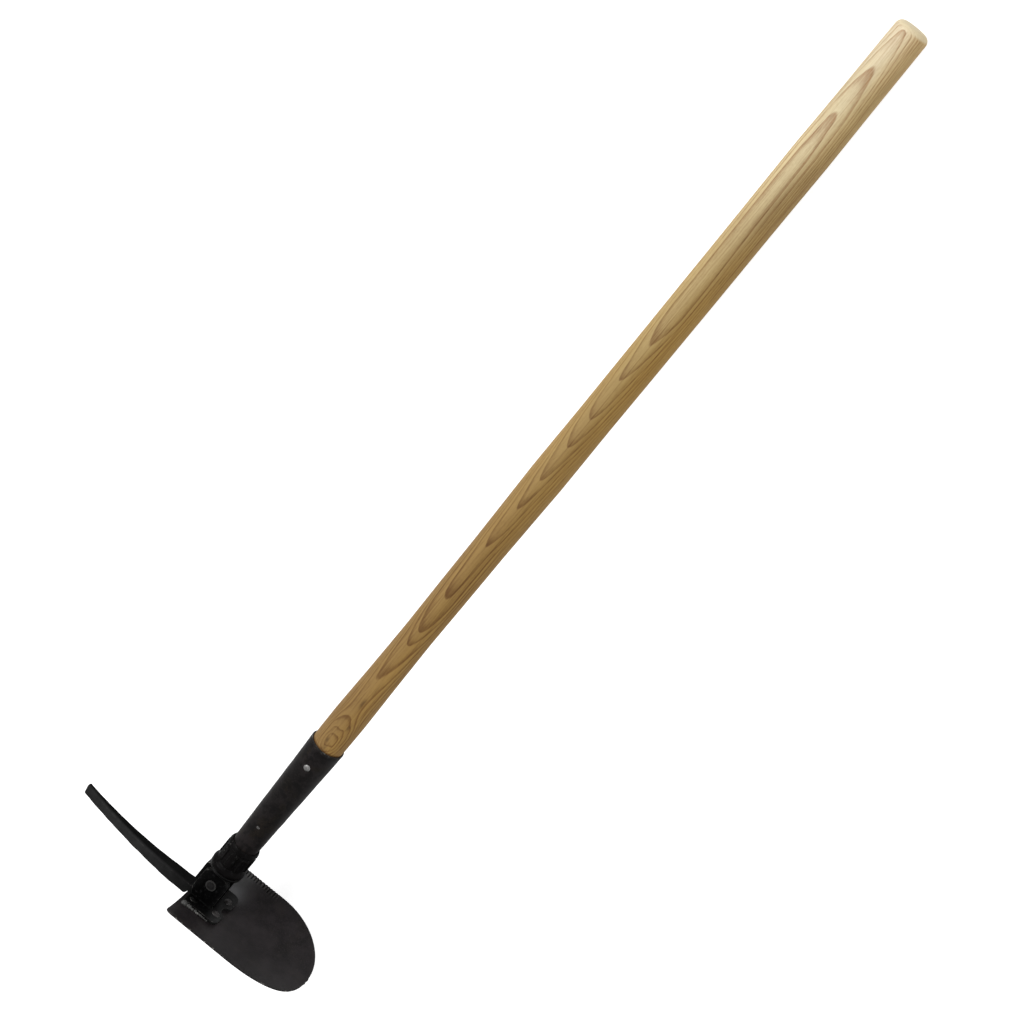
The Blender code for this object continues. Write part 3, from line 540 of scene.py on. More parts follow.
def black_paint(name, tone, gloss, rough, wear, sawn=False, painted_light=None, blotchy=0.0, flecked_and_glinting=0.0):
    """Black paint on forged steel: mottled, rubbed bare on its edges here and there, grey where scuffed,
    lighter on chosen faces as painted light, and with painted sheen and shade on the sawn blade.
    """
    paint = Finish(name)
    x, y, z = paint.place()
    broad = paint.noise(paint.spot, 24.0, 3.0)
    fine = paint.noise(paint.spot, 1.6, 4.0, 0.65)
    grit = paint.noise(paint.spot, 0.45, 2.0)
    blotch = paint.noise(paint.spot, 10.0, 3.0, 0.6)
    rubbed = paint.between(paint.edges() + (fine - 0.5) * 0.04, 0.515, 0.56)
    bare = rubbed * paint.between(paint.noise(paint.spot, 6.0, 4.0, 0.7), 0.50, 0.60) * wear
    streaks = paint.noise(paint.join(x * 0.05 + z * 0.03, y * 0.40, z * 0.55), 1.0, 3.0, 0.7)
    scuffed = paint.between(streaks, 0.58, 0.74) * paint.between(broad, 0.42, 0.60)
    colour = paint.mix(paint.between(broad, 0.30, 0.70), tint(tone, 0.55), tint(tone, 1.5))
    colour = paint.mix(paint.between(fine, 0.46, 0.66) * 0.6, colour, tint(tone, 2.2))
    if blotchy:
        rusty = paint.noise(paint.join(x * 0.06, y * 0.06, z * 0.06 + 7.3), 1.0, 2.0)
        rusty = paint.between(rusty, 0.48, 0.62)
        colour = paint.mix(rusty * blotchy, colour, (1.05, 0.97, 0.60), "MULTIPLY")
        colour = paint.mix(paint.between(blotch, 0.52, 0.40) * blotchy, colour, tint(tone, 0.15))
    # Grey flecks in the paint, partly grit and partly painted glints
    if flecked_and_glinting:
        flecks_and_glints = paint.between(paint.noise(paint.spot, 3.4, 4.0, 0.75), 0.56, 0.70)
        colour = paint.mix(flecks_and_glints * flecked_and_glinting, colour, FLECK_AND_GLINT_GREY)
    colour = paint.mix(rubbed * 0.35, colour, RUBBED_GREY)
    colour = paint.mix(scuffed * 0.30, colour, SCUFF_GREY)
    # Painted light and sheen: chosen faces turn lighter grey
    if painted_light:
        (centre, width), (start, full), taper, level = painted_light
        face = paint.between(z + y * taper, start, full) * paint.bump_shape(y, centre, width)
        colour = paint.mix(face * (broad * 0.3 + blotch * 1.1 + 0.1), colour, srgb(level, level, level))
    if sawn:
        rim = paint.marked("rim")
        sheen = paint.bump_shape(y, -20, 13) * paint.bump_shape(z, -37, 11)
        colour = paint.mix(sheen * 0.65, colour, SHEEN_GREY)
        # Painted shade darkens the blade's rim
        colour = paint.mix(rim * 0.85, colour, tint(tone, 0.3))
        colour = paint.mix(paint.marked("ground") * paint.between(fine, 0.36, 0.62), colour, LAND_GREY)
        # Painted shade: the filed gullets are painted near black
        colour = paint.mix(paint.marked("filed"), colour, GULLET_SHADE_BLACK)
        bare = rim * paint.between(paint.noise(paint.spot, 4.0, 4.0, 0.7), 0.575, 0.66) * wear
    colour = paint.mix(bare, colour, BARE_STEEL)
    paint.set(
        Base_Color=colour,
        Metallic=bare * 0.8,
        Roughness=(broad - 0.5) * 0.16 + (fine - 0.5) * 0.20 + scuffed * 0.12 + rough,
        Specular_IOR_Level=gloss,
    )
    paint.bump(fine * 0.6 + grit * 0.4 + broad * 0.8, 0.30, 0.0002)
    return paint.material


def worn_steel(name, tone, shine):
    """Bare steel gone dull: brushed a little, darker in its pits."""
    steel = Finish(name)
    steel.place()
    broad = steel.noise(steel.spot, 5.0, 3.0)
    fine = steel.noise(steel.spot, 0.7, 4.0, 0.65)
    rubbed = steel.between(steel.edges() + (fine - 0.5) * 0.12, 0.50, 0.60)
    pits = steel.between(fine, 0.52, 0.40)
    bright = tuple(min(level * 1.8 + shine * 0.1, 0.8) for level in tone)
    colour = steel.mix(steel.between(broad, 0.30, 0.70), tint(tone, 0.6), tone)
    colour = steel.mix(rubbed * 0.8, colour, bright)
    colour = steel.mix(pits * 0.5, colour, tint(tone, 0.3))
    steel.set(Base_Color=colour, Metallic=0.85, Roughness=0.42 + (fine - 0.5) * 0.3)
    steel.bump(fine * 0.8 - pits * 0.4, 0.4, 0.0002)
    return steel.material


# Pieces

def model_handle(wood):
    """Round handle from the CAD's own stations, with closer rings along its bare part."""
    stations = rings("wood_handle")
    mouth = reach("socket")[1]
    bare = [station for station in stations if station[0] >= mouth - 1 * MM]
    seat = [stations[0], stations[1]]
    round_end = [station for station in bare if station[0] > bare[-1][0] - 8 * MM]
    shank = []
    for (along, radius), (next_along, next_radius) in zip(bare, bare[1:]):
        if next_along > round_end[0][0]:
            break
        count = max(1, round((next_along - along) / (12 * MM)))
        for step in range(count):
            share = step / count
            shank.append((along + (next_along - along) * share, radius + (next_radius - radius) * share))
    end_along, end_radius = round_end[-1]
    crown = [(end_along, end_radius * 0.6), (end_along, end_radius * 0.15)]
    piece = turned("handle_wood", seat + shank + round_end + crown, 96)
    move_corners(piece, unevenness(90 * MM, 0.25 * MM))
    fit(piece, wood, "handle", ["wood_handle"])


# The socket's wall and the round of its mouth
SOCKET_WALL = 1.6 * MM
SOCKET_LIP = 0.8 * MM


def model_socket(paint):
    """Conical tube with a rounded mouth."""
    foot, mouth = reach("socket")
    foot_radius = widest("socket", foot, foot + 1 * MM)
    mouth_radius = widest("socket", mouth - 1 * MM, mouth)

    def outside(along):
        return foot_radius + (mouth_radius - foot_radius) * (along - foot) / (mouth - foot)

    stations = [(foot, foot_radius - SOCKET_WALL), (foot, foot_radius - 0.3 * MM)]
    stations.append((foot + 0.4 * MM, foot_radius))
    count = 40
    for step in range(1, count):
        along = foot + (mouth - SOCKET_LIP - foot) * step / count
        stations.append((along, outside(along)))
    for step in range(5):
        angle = math.radians(45 * step)
        out = mouth_radius - SOCKET_LIP * (1 - math.cos(angle))
        stations.append((mouth - SOCKET_LIP + SOCKET_LIP * math.sin(angle), out))
    stations.append((mouth - 3 * SOCKET_LIP, mouth_radius - SOCKET_WALL))
    piece = turned("socket_tube", stations, 96, ring=True)
    move_corners(piece, unevenness(14 * MM, 0.22 * MM))
    fit(piece, paint, "handle", ["socket"])


# The nut: the lengths of its foot and its ring, and the radius of its body between the pads
NUT_FOOT = 6.0 * MM
NUT_RING = 6.4 * MM
NUT_GROOVE = 17.7 * MM

# The nut's pads: their step and half breadth (degrees), and the length of their narrower ends
NUT_PAD_STEP = 45
NUT_PAD_HALF = 16.5
NUT_PAD_HALF_AT_END = 12.0
NUT_PAD_END = 1.4 * MM


def model_lock_nut(paint):
    """Nut with eight raised pads between dark grooves, a flared foot and a rounded ring at its top."""
    foot, top = reach("lock_nut")
    foot_radius = widest("lock_nut", foot, top)
    bore = min(math.hypot(point.y, point.z) for point in node_points("lock_nut"))
    ring_radius = widest("lock_nut", top - 2 * MM, top)
    band = foot + NUT_FOOT
    body = band + 3.0 * MM
    collar = top - NUT_RING
    stations = [(foot, bore), (foot, foot_radius - 1.6 * MM), (foot + 0.4 * MM, foot_radius - 0.6 * MM)]
    stations += [(foot + 1.2 * MM, foot_radius), (foot + 3.4 * MM, foot_radius + 0.1 * MM)]
    stations += [(band - 0.4 * MM, foot_radius - 0.1 * MM), (band + 1.0 * MM, foot_radius - 1.3 * MM)]
    stations.append((body, NUT_GROOVE + 0.3 * MM))
    rows = 20
    for step in range(rows + 1):
        along = body + 1.0 * MM + (collar - body - 2.0 * MM) * step / rows
        stations.append((along, NUT_GROOVE))
    stations += [(collar, NUT_GROOVE), (collar + 0.5 * MM, ring_radius)]
    stations += [(collar + 1.1 * MM, ring_radius + 0.3 * MM), (top - 3.6 * MM, ring_radius)]
    stations.append((top - 1.8 * MM, ring_radius - 0.7 * MM))
    stations += [(top - 0.5 * MM, ring_radius - 1.3 * MM), (top, ring_radius - 1.9 * MM)]
    stations += [(top - 0.4 * MM, ring_radius - 2.3 * MM), (top - 1.5 * MM, ring_radius - 2.3 * MM)]
    stations += [(top - 22 * MM, ring_radius - 2.3 * MM), (top - 23 * MM, bore)]
    piece = turned("lock_nut_body", stations, 96, ring=True)
    pad_start = body + 1.6 * MM
    pad_end = collar - 1.6 * MM
    open_edit(piece)

    def on_pad(middle):
        if not pad_start < middle.x < pad_end or math.hypot(middle.y, middle.z) < NUT_GROOVE * 0.95:
            return False
        angle = math.degrees(math.atan2(middle.y, middle.z)) % NUT_PAD_STEP
        beside = min(angle, NUT_PAD_STEP - angle)
        from_end = min(middle.x - pad_start, pad_end - middle.x)
        return beside < (NUT_PAD_HALF if from_end > NUT_PAD_END else NUT_PAD_HALF_AT_END)

    select_faces(piece, on_pad)
    bpy.ops.mesh.inset(thickness=0.35 * MM, depth=0.9 * MM, use_boundary=True)
    bpy.ops.mesh.inset(thickness=0.55 * MM, depth=0.7 * MM, use_boundary=True)
    close_edit()
    apply_modifier(piece, "SUBSURF", levels=2, render_levels=2)
    move_corners(piece, unevenness(5 * MM, 0.12 * MM))
    fit(piece, paint, "lock_nut", ["lock_nut"], 60)


def model_thrust_washer(steel):
    """Washer with rounded corners, which presses on the hinge under the nut."""
    foot, top = reach("thrust_washer")
    radius = widest("thrust_washer", foot, top)
    bore = min(math.hypot(point.y, point.z) for point in node_points("thrust_washer"))
    stations = [(foot, bore + 0.4 * MM)]
    stations += [(foot, radius - 1.2 * MM), (foot + 0.4 * MM, radius - 0.4 * MM), (foot + 1.1 * MM, radius)]
    stations += [(top - 0.4 * MM, radius), (top, radius - 0.4 * MM), (top, bore + 0.4 * MM)]
    stations += [(top - 0.4 * MM, bore), (foot + 0.4 * MM, bore)]
    piece = turned("thrust_washer_ring", stations, 128, ring=True)
    move_corners(piece, unevenness(4 * MM, 0.05 * MM))
    fit(piece, steel, "thrust_washer", ["thrust_washer"])


# The screw thread on the yoke's barrel
BARREL_RADIUS = 12.0 * MM
THREAD_PITCH = 3.0 * MM
THREAD_DEPTH = 1.3 * MM
THREAD_FADE = 2 * MM


def model_yoke(paint):
    """Forged yoke, with a coarse screw thread on its barrel."""
    piece = forged("yoke_forging", "yoke", 0.44 * MM, 7)
    start = reach("thrust_washer")[0] + 1 * MM
    end = reach("socket")[0] - 5 * MM
    for vert in piece.data.vertices:
        radius = math.hypot(vert.co.y, vert.co.z)
        if start < vert.co.x < end and abs(radius - BARREL_RADIUS) < 1.0 * MM:
            turn = (vert.co.x / THREAD_PITCH - math.atan2(vert.co.z, vert.co.y) / math.tau) % 1.0
            flank = min(abs(turn - 0.5) * 2.6, 1.0)
            fade = min((vert.co.x - start) / THREAD_FADE, (end - vert.co.x) / THREAD_FADE, 1.0)
            size = 1 - THREAD_DEPTH * flank * fade / radius
            vert.co.y *= size
            vert.co.z *= size
    move_corners(piece, unevenness(6 * MM, 0.12 * MM))
    fit(piece, paint, "handle", ["yoke"], 60)


def model_pick(paint):
    """Forged pick, its arm hammered and as thick as in the photograph."""
    piece = forged("pick_forging", "pick", 0.33 * MM, 9, 0.6)

    def arm(place):
        """Share of the arm beyond the eyes, which the pin and the blade's bracket don't touch."""
        return min(max((place.y - 30 * MM) / (12 * MM), 0.0), 1.0)

    hammered = unevenness(11 * MM, 0.32 * MM)
    grit = unevenness(2.2 * MM, 0.05 * MM)
    move_corners(piece, lambda place: (hammered(place) + 0.80 * MM) * arm(place) + grit(place))
    fit(piece, paint, "pick", ["pick"], 60)


def model_bracket(paint):
    """Forged bracket, which stands on the blade and holds the pin."""
    piece = forged("bracket_plate", "blade_bracket", 0.42 * MM, 8)
    move_corners(piece, unevenness(7 * MM, 0.16 * MM))
    fit(piece, paint, "blade", ["blade_bracket"], 60)


# The blade: its straight sides, the roundness of its point, its root corners, its dish and its edges
BLADE_STRAIGHT = 85 * MM
BLADE_TIP_POWER = 0.86
BLADE_CORNER = 7 * MM
BLADE_DISH = 13.8 * MM
BLADE_THICKNESS = 2.4 * MM
EDGE_BAND = 10 * MM
EDGE_TAPER = 7 * MM
EDGE_WEAR = 0.35 * MM
RIM = 1.4 * MM

# The saw teeth: where they start, their pitch and number, how far in they are filed, and how deep
SAW_START = 27 * MM
SAW_PITCH = 4.0 * MM
SAW_TEETH = 13
SAW_LENGTH = 8.2 * MM
SAW_LENGTH_SPREAD = 4.0 * MM
SAW_DEPTH = 1.3 * MM
SAW_NOTCH = 0.8 * MM


def model_blade(paint):
    """Dished plate with a thinned edge, and a row of saw teeth filed in from its ground edge."""
    near_tip, root = reach("blade", 1)
    low_edge, high_edge = reach("blade", 2)
    length = root - near_tip
    width = high_edge - low_edge
    points = node_points("blade")
    root_level = max(point.x for point in points if abs(point.z) < 0.5 * MM and point.y > root - 1 * MM)
    tip_level = max(point.x for point in points if point.y < near_tip + 0.5 * MM)

    def half_width(down):
        if down < BLADE_CORNER:
            cut = BLADE_CORNER - math.sqrt(BLADE_CORNER**2 - (BLADE_CORNER - down) ** 2)
            return width / 2 - cut
        share = min(max(down - BLADE_STRAIGHT, 0.0) / (length - BLADE_STRAIGHT), 1.0)
        return width / 2 * math.sqrt(1 - share**2) ** BLADE_TIP_POWER

    def level(down, across):
        straight = root_level + (tip_level - root_level) * down / length
        return straight + BLADE_DISH * (2 * across / width) ** 2

    # Rows of the grid from root to point, close together where the teeth are
    saw_end = SAW_START + SAW_PITCH * SAW_TEETH
    saw_step = SAW_PITCH / 12
    saw_rows = round((saw_end - SAW_START + 2 * MM) / saw_step)
    corner = [BLADE_CORNER * (1 - math.cos(math.pi / 2 * step / 8)) for step in range(8)]
    plain = [BLADE_CORNER + (SAW_START - 1 * MM - BLADE_CORNER) * step / 10 for step in range(10)]
    saw = [SAW_START - 1 * MM + saw_step * step for step in range(saw_rows)]
    start = saw[-1] + saw_step
    rest = [start + (BLADE_STRAIGHT - start) * step / 3 for step in range(3)]
    rounding = [math.sin(math.pi / 2 * step / 48) for step in range(49)]
    point = [BLADE_STRAIGHT + (length - BLADE_STRAIGHT) * share for share in rounding]
    downs = corner + plain + saw + rest + point

    # Columns from the sawn edge to the near one, close together at both
    edge_band = EDGE_BAND / (width / 2)
    columns = [-1 + edge_band * step / 18 for step in range(18)]
    columns += [-1 + edge_band + (2 - 2 * edge_band) * step / 40 for step in range(40)]
    columns += [1 - edge_band + edge_band * step / 12 for step in range(13)]

    bpy.ops.object.select_all(action="DESELECT")
    bpy.ops.mesh.primitive_grid_add(x_subdivisions=len(columns) - 1, y_subdivisions=len(downs) - 1, size=1)
    piece = bpy.context.object
    piece.name = "blade_plate"
    across_step = 1 / (len(columns) - 1)
    down_step = 1 / (len(downs) - 1)
    for vert in piece.data.vertices:
        column = columns[round((vert.co.x + 0.5) / across_step)]
        down = downs[round((vert.co.y + 0.5) / down_step)]
        across = column * half_width(down)
        vert.co = Vector((level(down, across), root - down, across))
    open_edit(piece)
    bpy.ops.mesh.select_all(action="SELECT")
    bpy.ops.mesh.remove_doubles(threshold=0.01 * MM)
    bpy.ops.mesh.normals_make_consistent(inside=False)
    close_edit()
    if sum(face.normal.x for face in piece.data.polygons) < 0:
        open_edit(piece)
        bpy.ops.mesh.select_all(action="SELECT")
        bpy.ops.mesh.flip_normals()
        close_edit()
    apply_modifier(piece, "SOLIDIFY", thickness=BLADE_THICKNESS, offset=-1)

    # The edges are thinned, and each tooth is filed a little differently
    # The filed gullets are marked for painted shade, the ground lands for wear, and the rim for painted
    # shade and wear
    for name in ("filed", "ground", "rim"):
        piece.data.attributes.new(name, "FLOAT", "POINT")
    gullet_shade, lands, rims = (piece.data.attributes[name] for name in ("filed", "ground", "rim"))
    for vert in piece.data.vertices:
        down = root - vert.co.y
        across = vert.co.z
        from_edge = half_width(min(max(down, 0.0), length)) - abs(across)
        top = level(down, across)
        under = top - vert.co.x
        if under > BLADE_THICKNESS * 0.4:
            thin = min(from_edge / EDGE_TAPER, 1.0)
            vert.co.x = top - under * (0.5 + 0.5 * thin)
        else:
            vert.co.x -= EDGE_WEAR * max(1 - from_edge / (1.2 * MM), 0.0) ** 2
        if across < 0 and SAW_START <= down <= saw_end:
            drift = noise.noise(Vector((down / (9 * MM), 0.3, 0.9))) * 1.6 * MM
            number = (down - SAW_START + drift) / SAW_PITCH
            hand = noise.noise_vector(Vector((math.floor(number) * 1.7, 0.4, 2.6)))
            tooth = abs(number % 1.0 - 0.5) * 2
            gullet = max(1 - tooth * 2.0, 0.0) * min(max(0.75 + 1.1 * hand.y, 0.25), 1.0)
            inward = SAW_LENGTH + SAW_LENGTH_SPREAD * hand.x
            filed = min(max((inward - from_edge) / (2.0 * MM), 0.0), 1.0)
            if under < BLADE_THICKNESS * 0.4:
                vert.co.x -= SAW_DEPTH * gullet * filed
            vert.co.z += SAW_NOTCH * gullet * max(1 - from_edge / (1.5 * MM), 0.0)
            gullet_shade.data[vert.index].value = min(gullet * 1.6, 1.0) * filed
            ground = min(max(0.7 + hand.z, 0.2), 1.0)
            lands.data[vert.index].value = max(tooth * 2 - 1, 0.0) * filed * ground
        rims.data[vert.index].value = min(max(1 - from_edge / RIM, 0.0), 1.0)
    move_corners(piece, unevenness(32 * MM, 0.4 * MM))
    move_corners(piece, unevenness(6 * MM, 0.05 * MM))
    fit(piece, paint, "blade", ["blade"], 50)


def round_head(name, seat, radius, height, dent):
    """Rivet or pin head at the origin, on X, with a worn crown."""
    stations = [(seat - 1.5 * MM, radius * 0.55), (seat, radius * 0.6), (seat, radius - 0.3 * MM)]
    stations += [(seat + 0.15 * MM, radius)] + dome(seat + 0.3 * MM, radius, height - 0.3 * MM)[1:]
    piece = turned(name, stations, 40)
    apply_modifier(piece, "SUBSURF", levels=1, render_levels=1)
    crown = seat + height
    for vert in piece.data.vertices:
        if vert.co.x > crown - dent:
            vert.co.x = crown - dent - (vert.co.x - crown + dent) * 0.3
    move_corners(piece, unevenness(1.3 * MM, 0.12 * MM))
    return piece


def joined(name, pieces):
    """Make one piece of several."""
    select_only(pieces[0])
    for piece in pieces[1:]:
        piece.select_set(True)
    bpy.ops.object.join()
    pieces[0].name = name
    return pieces[0]


def model_handle_rivet(steel):
    """The rivet's two hammered heads, and the burr under the far one."""
    low, high = reach("handle_rivet", 2)
    start, end = reach("handle_rivet")
    along = (start + end) / 2
    radius = (end - start) / 2
    height = 2.0 * MM
    burr_low, burr_high = reach("rivet_burr", 2)
    near = round_head("handle_rivet_head", high - height, radius, height, 0.25 * MM)
    near.data.transform(Matrix.Translation((along, 0, 0)) @ TO_NEAR_SIDE)
    far = round_head("handle_rivet_tail", -low - height, radius, height, 0.35 * MM)
    far.data.transform(Matrix.Translation((along, 0, 0)) @ TO_FAR_SIDE)
    rivet = joined("handle_rivet_heads", [near, far])
    fit(rivet, steel, "handle", ["handle_rivet"])
    start, end = reach("rivet_burr")
    outer = (end - start) / 2
    bore = 3.3 * MM
    stations = [(-burr_high, bore), (-burr_high, outer - 0.2 * MM), (-burr_high + 0.3 * MM, outer)]
    stations += [(-burr_low - 0.4 * MM, outer), (-burr_low, outer - 0.5 * MM), (-burr_low, bore)]
    burr = turned("rivet_burr_ring", stations, 64, ring=True)
    burr.data.transform(Matrix.Translation((along, 0, 0)) @ TO_FAR_SIDE)
    move_corners(burr, unevenness(2 * MM, 0.08 * MM))
    fit(burr, steel, "handle", ["rivet_burr"])


def model_yoke_pin(steel):
    """Cross pin, filed flush with the socket."""
    low, high = reach("yoke_pin", 2)
    start, end = reach("yoke_pin")
    along = (start + end) / 2
    radius = (end - start) / 2
    stations = [(low, radius * 0.3), (low + 0.15 * MM, radius * 0.75), (low + 0.6 * MM, radius)]
    stations += [(high - 0.6 * MM, radius), (high - 0.15 * MM, radius * 0.75), (high, radius * 0.3)]
    pin = turned("yoke_cross_pin", stations, 40)
    pin.data.transform(Matrix.Translation((along, 0, 0)) @ TO_NEAR_SIDE)
    move_corners(pin, unevenness(1.2 * MM, 0.10 * MM))
    fit(pin, steel, "handle", ["yoke_pin"])


def model_hinge_pin(steel, washer_steel):
    """Pin with both ends hammered over their washers."""
    low, high = reach("hinge_pin", 2)
    left, right = reach("hinge_pin")
    radius = (right - left) / 2
    height = 2.4 * MM
    near = round_head("pin_head_near", high - height, radius, height, 0.55 * MM)
    near.data.transform(TO_NEAR_SIDE)
    far = round_head("pin_head_far", -low - height, radius, height, 0.45 * MM)
    far.data.transform(TO_FAR_SIDE)
    waist = 4.5 * MM
    ends = waist - 0.1 * MM
    shank = turned("pin_shank", [(low + height, ends), (0.0, waist), (high - height, ends)], 48)
    shank.data.transform(TO_NEAR_SIDE)
    pin = joined("hinge_pin_peened", [near, far, shank])
    fit(pin, steel, "pick", ["hinge_pin"])
    bore = waist + 0.3 * MM
    for node in ("pin_washer_near", "pin_washer_far"):
        start, end = reach(node, 2)
        outer = (reach(node)[1] - reach(node)[0]) / 2
        stations = [(start, bore), (start, outer - 0.2 * MM), (start + 0.3 * MM, outer)]
        stations += [(end - 0.3 * MM, outer), (end, outer - 0.2 * MM), (end, bore)]
        washer = turned(f"{node}_ring", stations, 64, ring=True)
        washer.data.transform(TO_NEAR_SIDE)
        move_corners(washer, unevenness(2 * MM, 0.06 * MM))
        fit(washer, washer_steel, "pick", [node])


def model_bracket_rivets(lit_toe_paint, heel_paint):
    """Four domed rivets, each hammered down a little differently."""
    dome_height = 2.8 * MM
    tail_height = 1.6 * MM
    flat = 0.3 * MM
    for number in range(1, 5):
        node = f"bracket_rivet_{number}"
        points = node_points(node)
        crown = max(points, key=lambda point: point.x)
        middle = sum(points, Vector()) / len(points)
        square = (crown - middle).normalized()
        spread = [(point - middle) - square * (point - middle).dot(square) for point in points]
        radius = max(offset.length for offset in spread)
        heights = [(point - middle).dot(square) for point in points]
        turn = Vector((1, 0, 0)).rotation_difference(square).to_matrix().to_4x4()
        head = round_head(f"{node}_head", max(heights) - dome_height, radius, dome_height, flat)
        tail = round_head(f"{node}_tail", -min(heights) - tail_height, radius * 0.96, tail_height, flat)
        tail.data.transform(Matrix.Rotation(math.pi, 4, "Z"))
        rivet = joined(f"{node}_hammered", [head, tail])
        rivet.data.transform(Matrix.Translation(middle) @ turn)
        # Rivets in front of the pin take a lighter, worn paint that also stands in as painted highlight;
        # those behind keep the bracket's paint
        fit(rivet, lit_toe_paint if middle.y < 0 else heel_paint, "blade", [node])


WELD_DROPS = 17
WELD_DROP_RADIUS = 2.1 * MM
WELD_END = 1.6 * MM


def model_weld_bead(node, paint):
    """Ragged weld bead: overlapping drops laid along the CAD bead, then melted together."""
    points = node_points(node)
    start, end = min(point.y for point in points), max(point.y for point in points)
    drops = []
    for step in range(WELD_DROPS):
        along = start + WELD_END + (end - start - 2 * WELD_END) * step / (WELD_DROPS - 1)
        near = [point for point in points if abs(point.y - along) < 2.6 * MM]
        middle = sum(near, Vector()) / len(near)
        shake = noise.noise_vector(Vector((along * 310, 4.1, 1.7)))
        share = step / (WELD_DROPS - 1)
        swell = 0.60 + 1.10 * share**3
        radius = WELD_DROP_RADIUS * swell * (1 + 0.45 * shake.x)
        bpy.ops.object.select_all(action="DESELECT")
        bpy.ops.mesh.primitive_ico_sphere_add(subdivisions=3, radius=radius)
        drop = bpy.context.object
        drop.scale = (0.8, 0.8, 1.0)
        stray = (0.3 + 2.4 * share) * MM
        drop.location = (middle.x, along + stray * shake.y, middle.z + stray * shake.z)
        bpy.ops.object.transform_apply(location=True, rotation=True, scale=True)
        drops.append(drop)
    bead = joined(f"{node}_drops", drops)
    apply_modifier(bead, "REMESH", mode="VOXEL", voxel_size=0.30 * MM, use_smooth_shade=True)
    apply_modifier(bead, "SMOOTH", factor=0.5, iterations=3)
    move_corners(bead, unevenness(1.3 * MM, 0.30 * MM))
    fit(bead, paint, "blade", [node], 60)


# Studio

# Air and floor: the air's own light on the tool, the floor's size (m), tone, and glow for camera and metal
AIR_LIGHT = 0.55
FLOOR_SIZE = 60
FLOOR_TONE = 0.80
GLOW_TO_CAMERA = 0.66
GLOW_IN_METAL = 0.12

# Lights, seen from the camera round the tool's middle (m): name, place, size, power (W)
LIGHTS = (
    ("key_light", (-1.6, 1.2, 1.9), 1.6, 62),
    ("soft_light", (1.8, 0.3, 1.6), 2.2, 14),
)


def set_camera():
    """The photograph's camera."""
    turn = Matrix.Rotation(VIEW_TURN, 4, "Z") @ Matrix.Rotation(VIEW_TILT, 4, "Y")
    seen = Matrix.Translation(PIN_BEFORE_CAMERA) @ turn @ Matrix.Rotation(VIEW_ROLL, 4, "X")
    camera = bpy.data.objects.new("camera", bpy.data.cameras.new("camera"))
    camera.data.sensor_width = SENSOR
    camera.data.lens = SENSOR * FOCAL_PIXELS / PHOTO_PIXELS
    camera.matrix_world = lay @ seen.inverted()
    bpy.context.scene.collection.objects.link(camera)
    bpy.context.scene.camera = camera
    return camera.matrix_world.to_3x3()


def set_air():
    """White air for what the camera, metal and glass see, and a softer one that lights the tool."""
    world = bpy.data.worlds.new("studio_air")
    world.use_nodes = True
    bpy.context.scene.world = world
    air = Shading(world.node_tree)
    background = world.node_tree.nodes["Background"]
    seen, mirrored = air.ray_kinds()
    air.put(background.inputs["Color"], (1.0, 1.0, 1.0))
    whiter = air.math("MAXIMUM", seen, mirrored) * (1 - AIR_LIGHT)
    air.put(background.inputs["Strength"], whiter + AIR_LIGHT)


def set_floor():
    """Plain white card under the tool, which keeps its shadow."""
    bpy.ops.object.select_all(action="DESELECT")
    bpy.ops.mesh.primitive_plane_add(size=FLOOR_SIZE)
    floor = bpy.context.object
    floor.name = "studio_floor"
    floor.location.z = size_at_start[0][2]
    card = Finish("studio_floor_card")
    seen, mirrored = card.ray_kinds()
    glow = seen * GLOW_TO_CAMERA + mirrored * GLOW_IN_METAL
    glow = card.mix(glow, (0.0, 0.0, 0.0), (1.0, 1.0, 1.0))
    card.set(Base_Color=(FLOOR_TONE, FLOOR_TONE, FLOOR_TONE), Roughness=0.9, Specular_IOR_Level=0.0)
    card.set(Emission_Color=glow, Emission_Strength=1.0)
    floor.data.materials.append(card.material)


def set_lights(sight):
    middle = (Vector(size_at_start[0]) + Vector(size_at_start[1])) / 2
    for name, place, size, power in LIGHTS:
        lamp = bpy.data.lights.new(name, "AREA")
        lamp.shape = "DISK"
        lamp.size = size
        lamp.energy = power
        light = bpy.data.objects.new(name, lamp)
        light.location = middle + sight @ Vector(place)
        light.rotation_euler = (middle - light.location).to_track_quat("-Z", "Y").to_euler()
        bpy.context.scene.collection.objects.link(light)


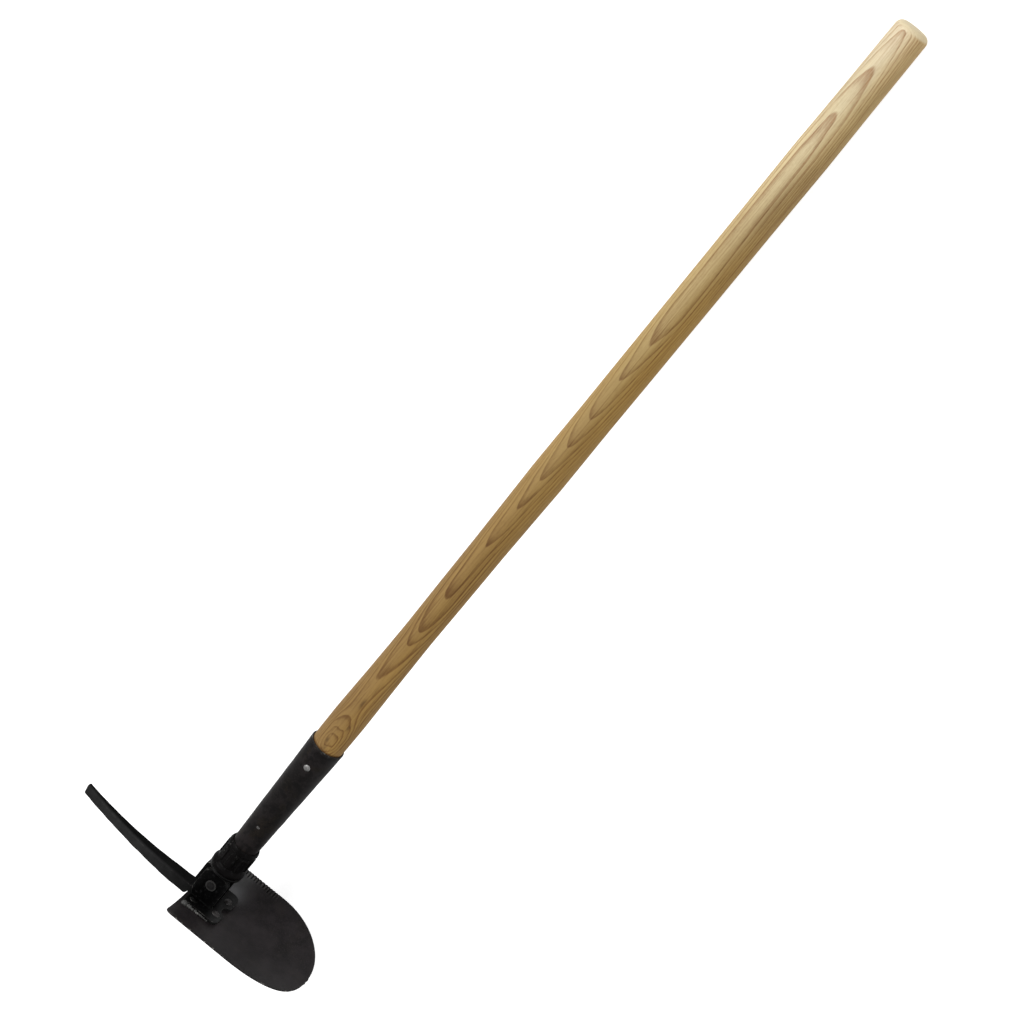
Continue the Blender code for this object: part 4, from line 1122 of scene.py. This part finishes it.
# Paints by name, colour, gloss, roughness and wear of their edges, and steels by name, colour and shine
wood = ash_wood()
socket_paint = black_paint("socket_black_paint", srgb(20, 17, 17), 0.075, 0.45, 0.3, blotchy=0.65)
pick_paint = black_paint("pick_black_paint", srgb(4, 4, 4), 0.02, 0.36, 0.25, painted_light=LIT_NEAR_FACE_OF_PICK)
blade_paint = black_paint(
    "blade_black_paint", srgb(27, 24, 25), 0.11, 0.46, 0.9,
    sawn=True, painted_light=SHEEN_ON_FAR_SIDE_OF_BLADE, blotchy=0.12,
)
nut_paint = black_paint("nut_black_paint", srgb(7, 6, 6), 0.03, 0.38, 0.4, flecked_and_glinting=0.35)
bracket_paint = black_paint(
    "bracket_black_paint", srgb(5, 5, 5), 0.033, 0.36, 0.4, painted_light=LIT_TOE_OF_BRACKET, flecked_and_glinting=0.5
)
lit_rivet_paint = black_paint("bracket_rivet_lit_paint", srgb(34, 32, 32), 0.16, 0.34, 0.9)
weld_paint = black_paint("weld_grey_scale", srgb(58, 58, 57), 0.20, 0.46, 0.9)
oily_steel = worn_steel("oily_black_steel", srgb(28, 27, 27), 0.2)
thrust_steel = worn_steel("dark_thrust_steel", srgb(12, 12, 12), 0.0)
washer_steel = worn_steel("dull_washer_steel", srgb(50, 49, 48), 0.3)
rivet_steel = worn_steel("bare_rivet_steel", srgb(132, 131, 130), 1.0)
pin_steel = worn_steel("bare_pin_steel", srgb(84, 83, 82), 0.6)

model_handle(wood)
model_socket(socket_paint)
model_handle_rivet(rivet_steel)
model_yoke(bracket_paint)
model_yoke_pin(pin_steel)
model_thrust_washer(thrust_steel)
model_lock_nut(nut_paint)
model_hinge_pin(oily_steel, washer_steel)
model_pick(pick_paint)
model_blade(blade_paint)
model_bracket(bracket_paint)
model_bracket_rivets(lit_rivet_paint, bracket_paint)
model_weld_bead("weld_bead_near", weld_paint)
model_weld_bead("weld_bead_far", weld_paint)

bpy.context.scene.view_settings.view_transform = "Standard"
sight = set_camera()
set_air()
set_floor()
set_lights(sight)
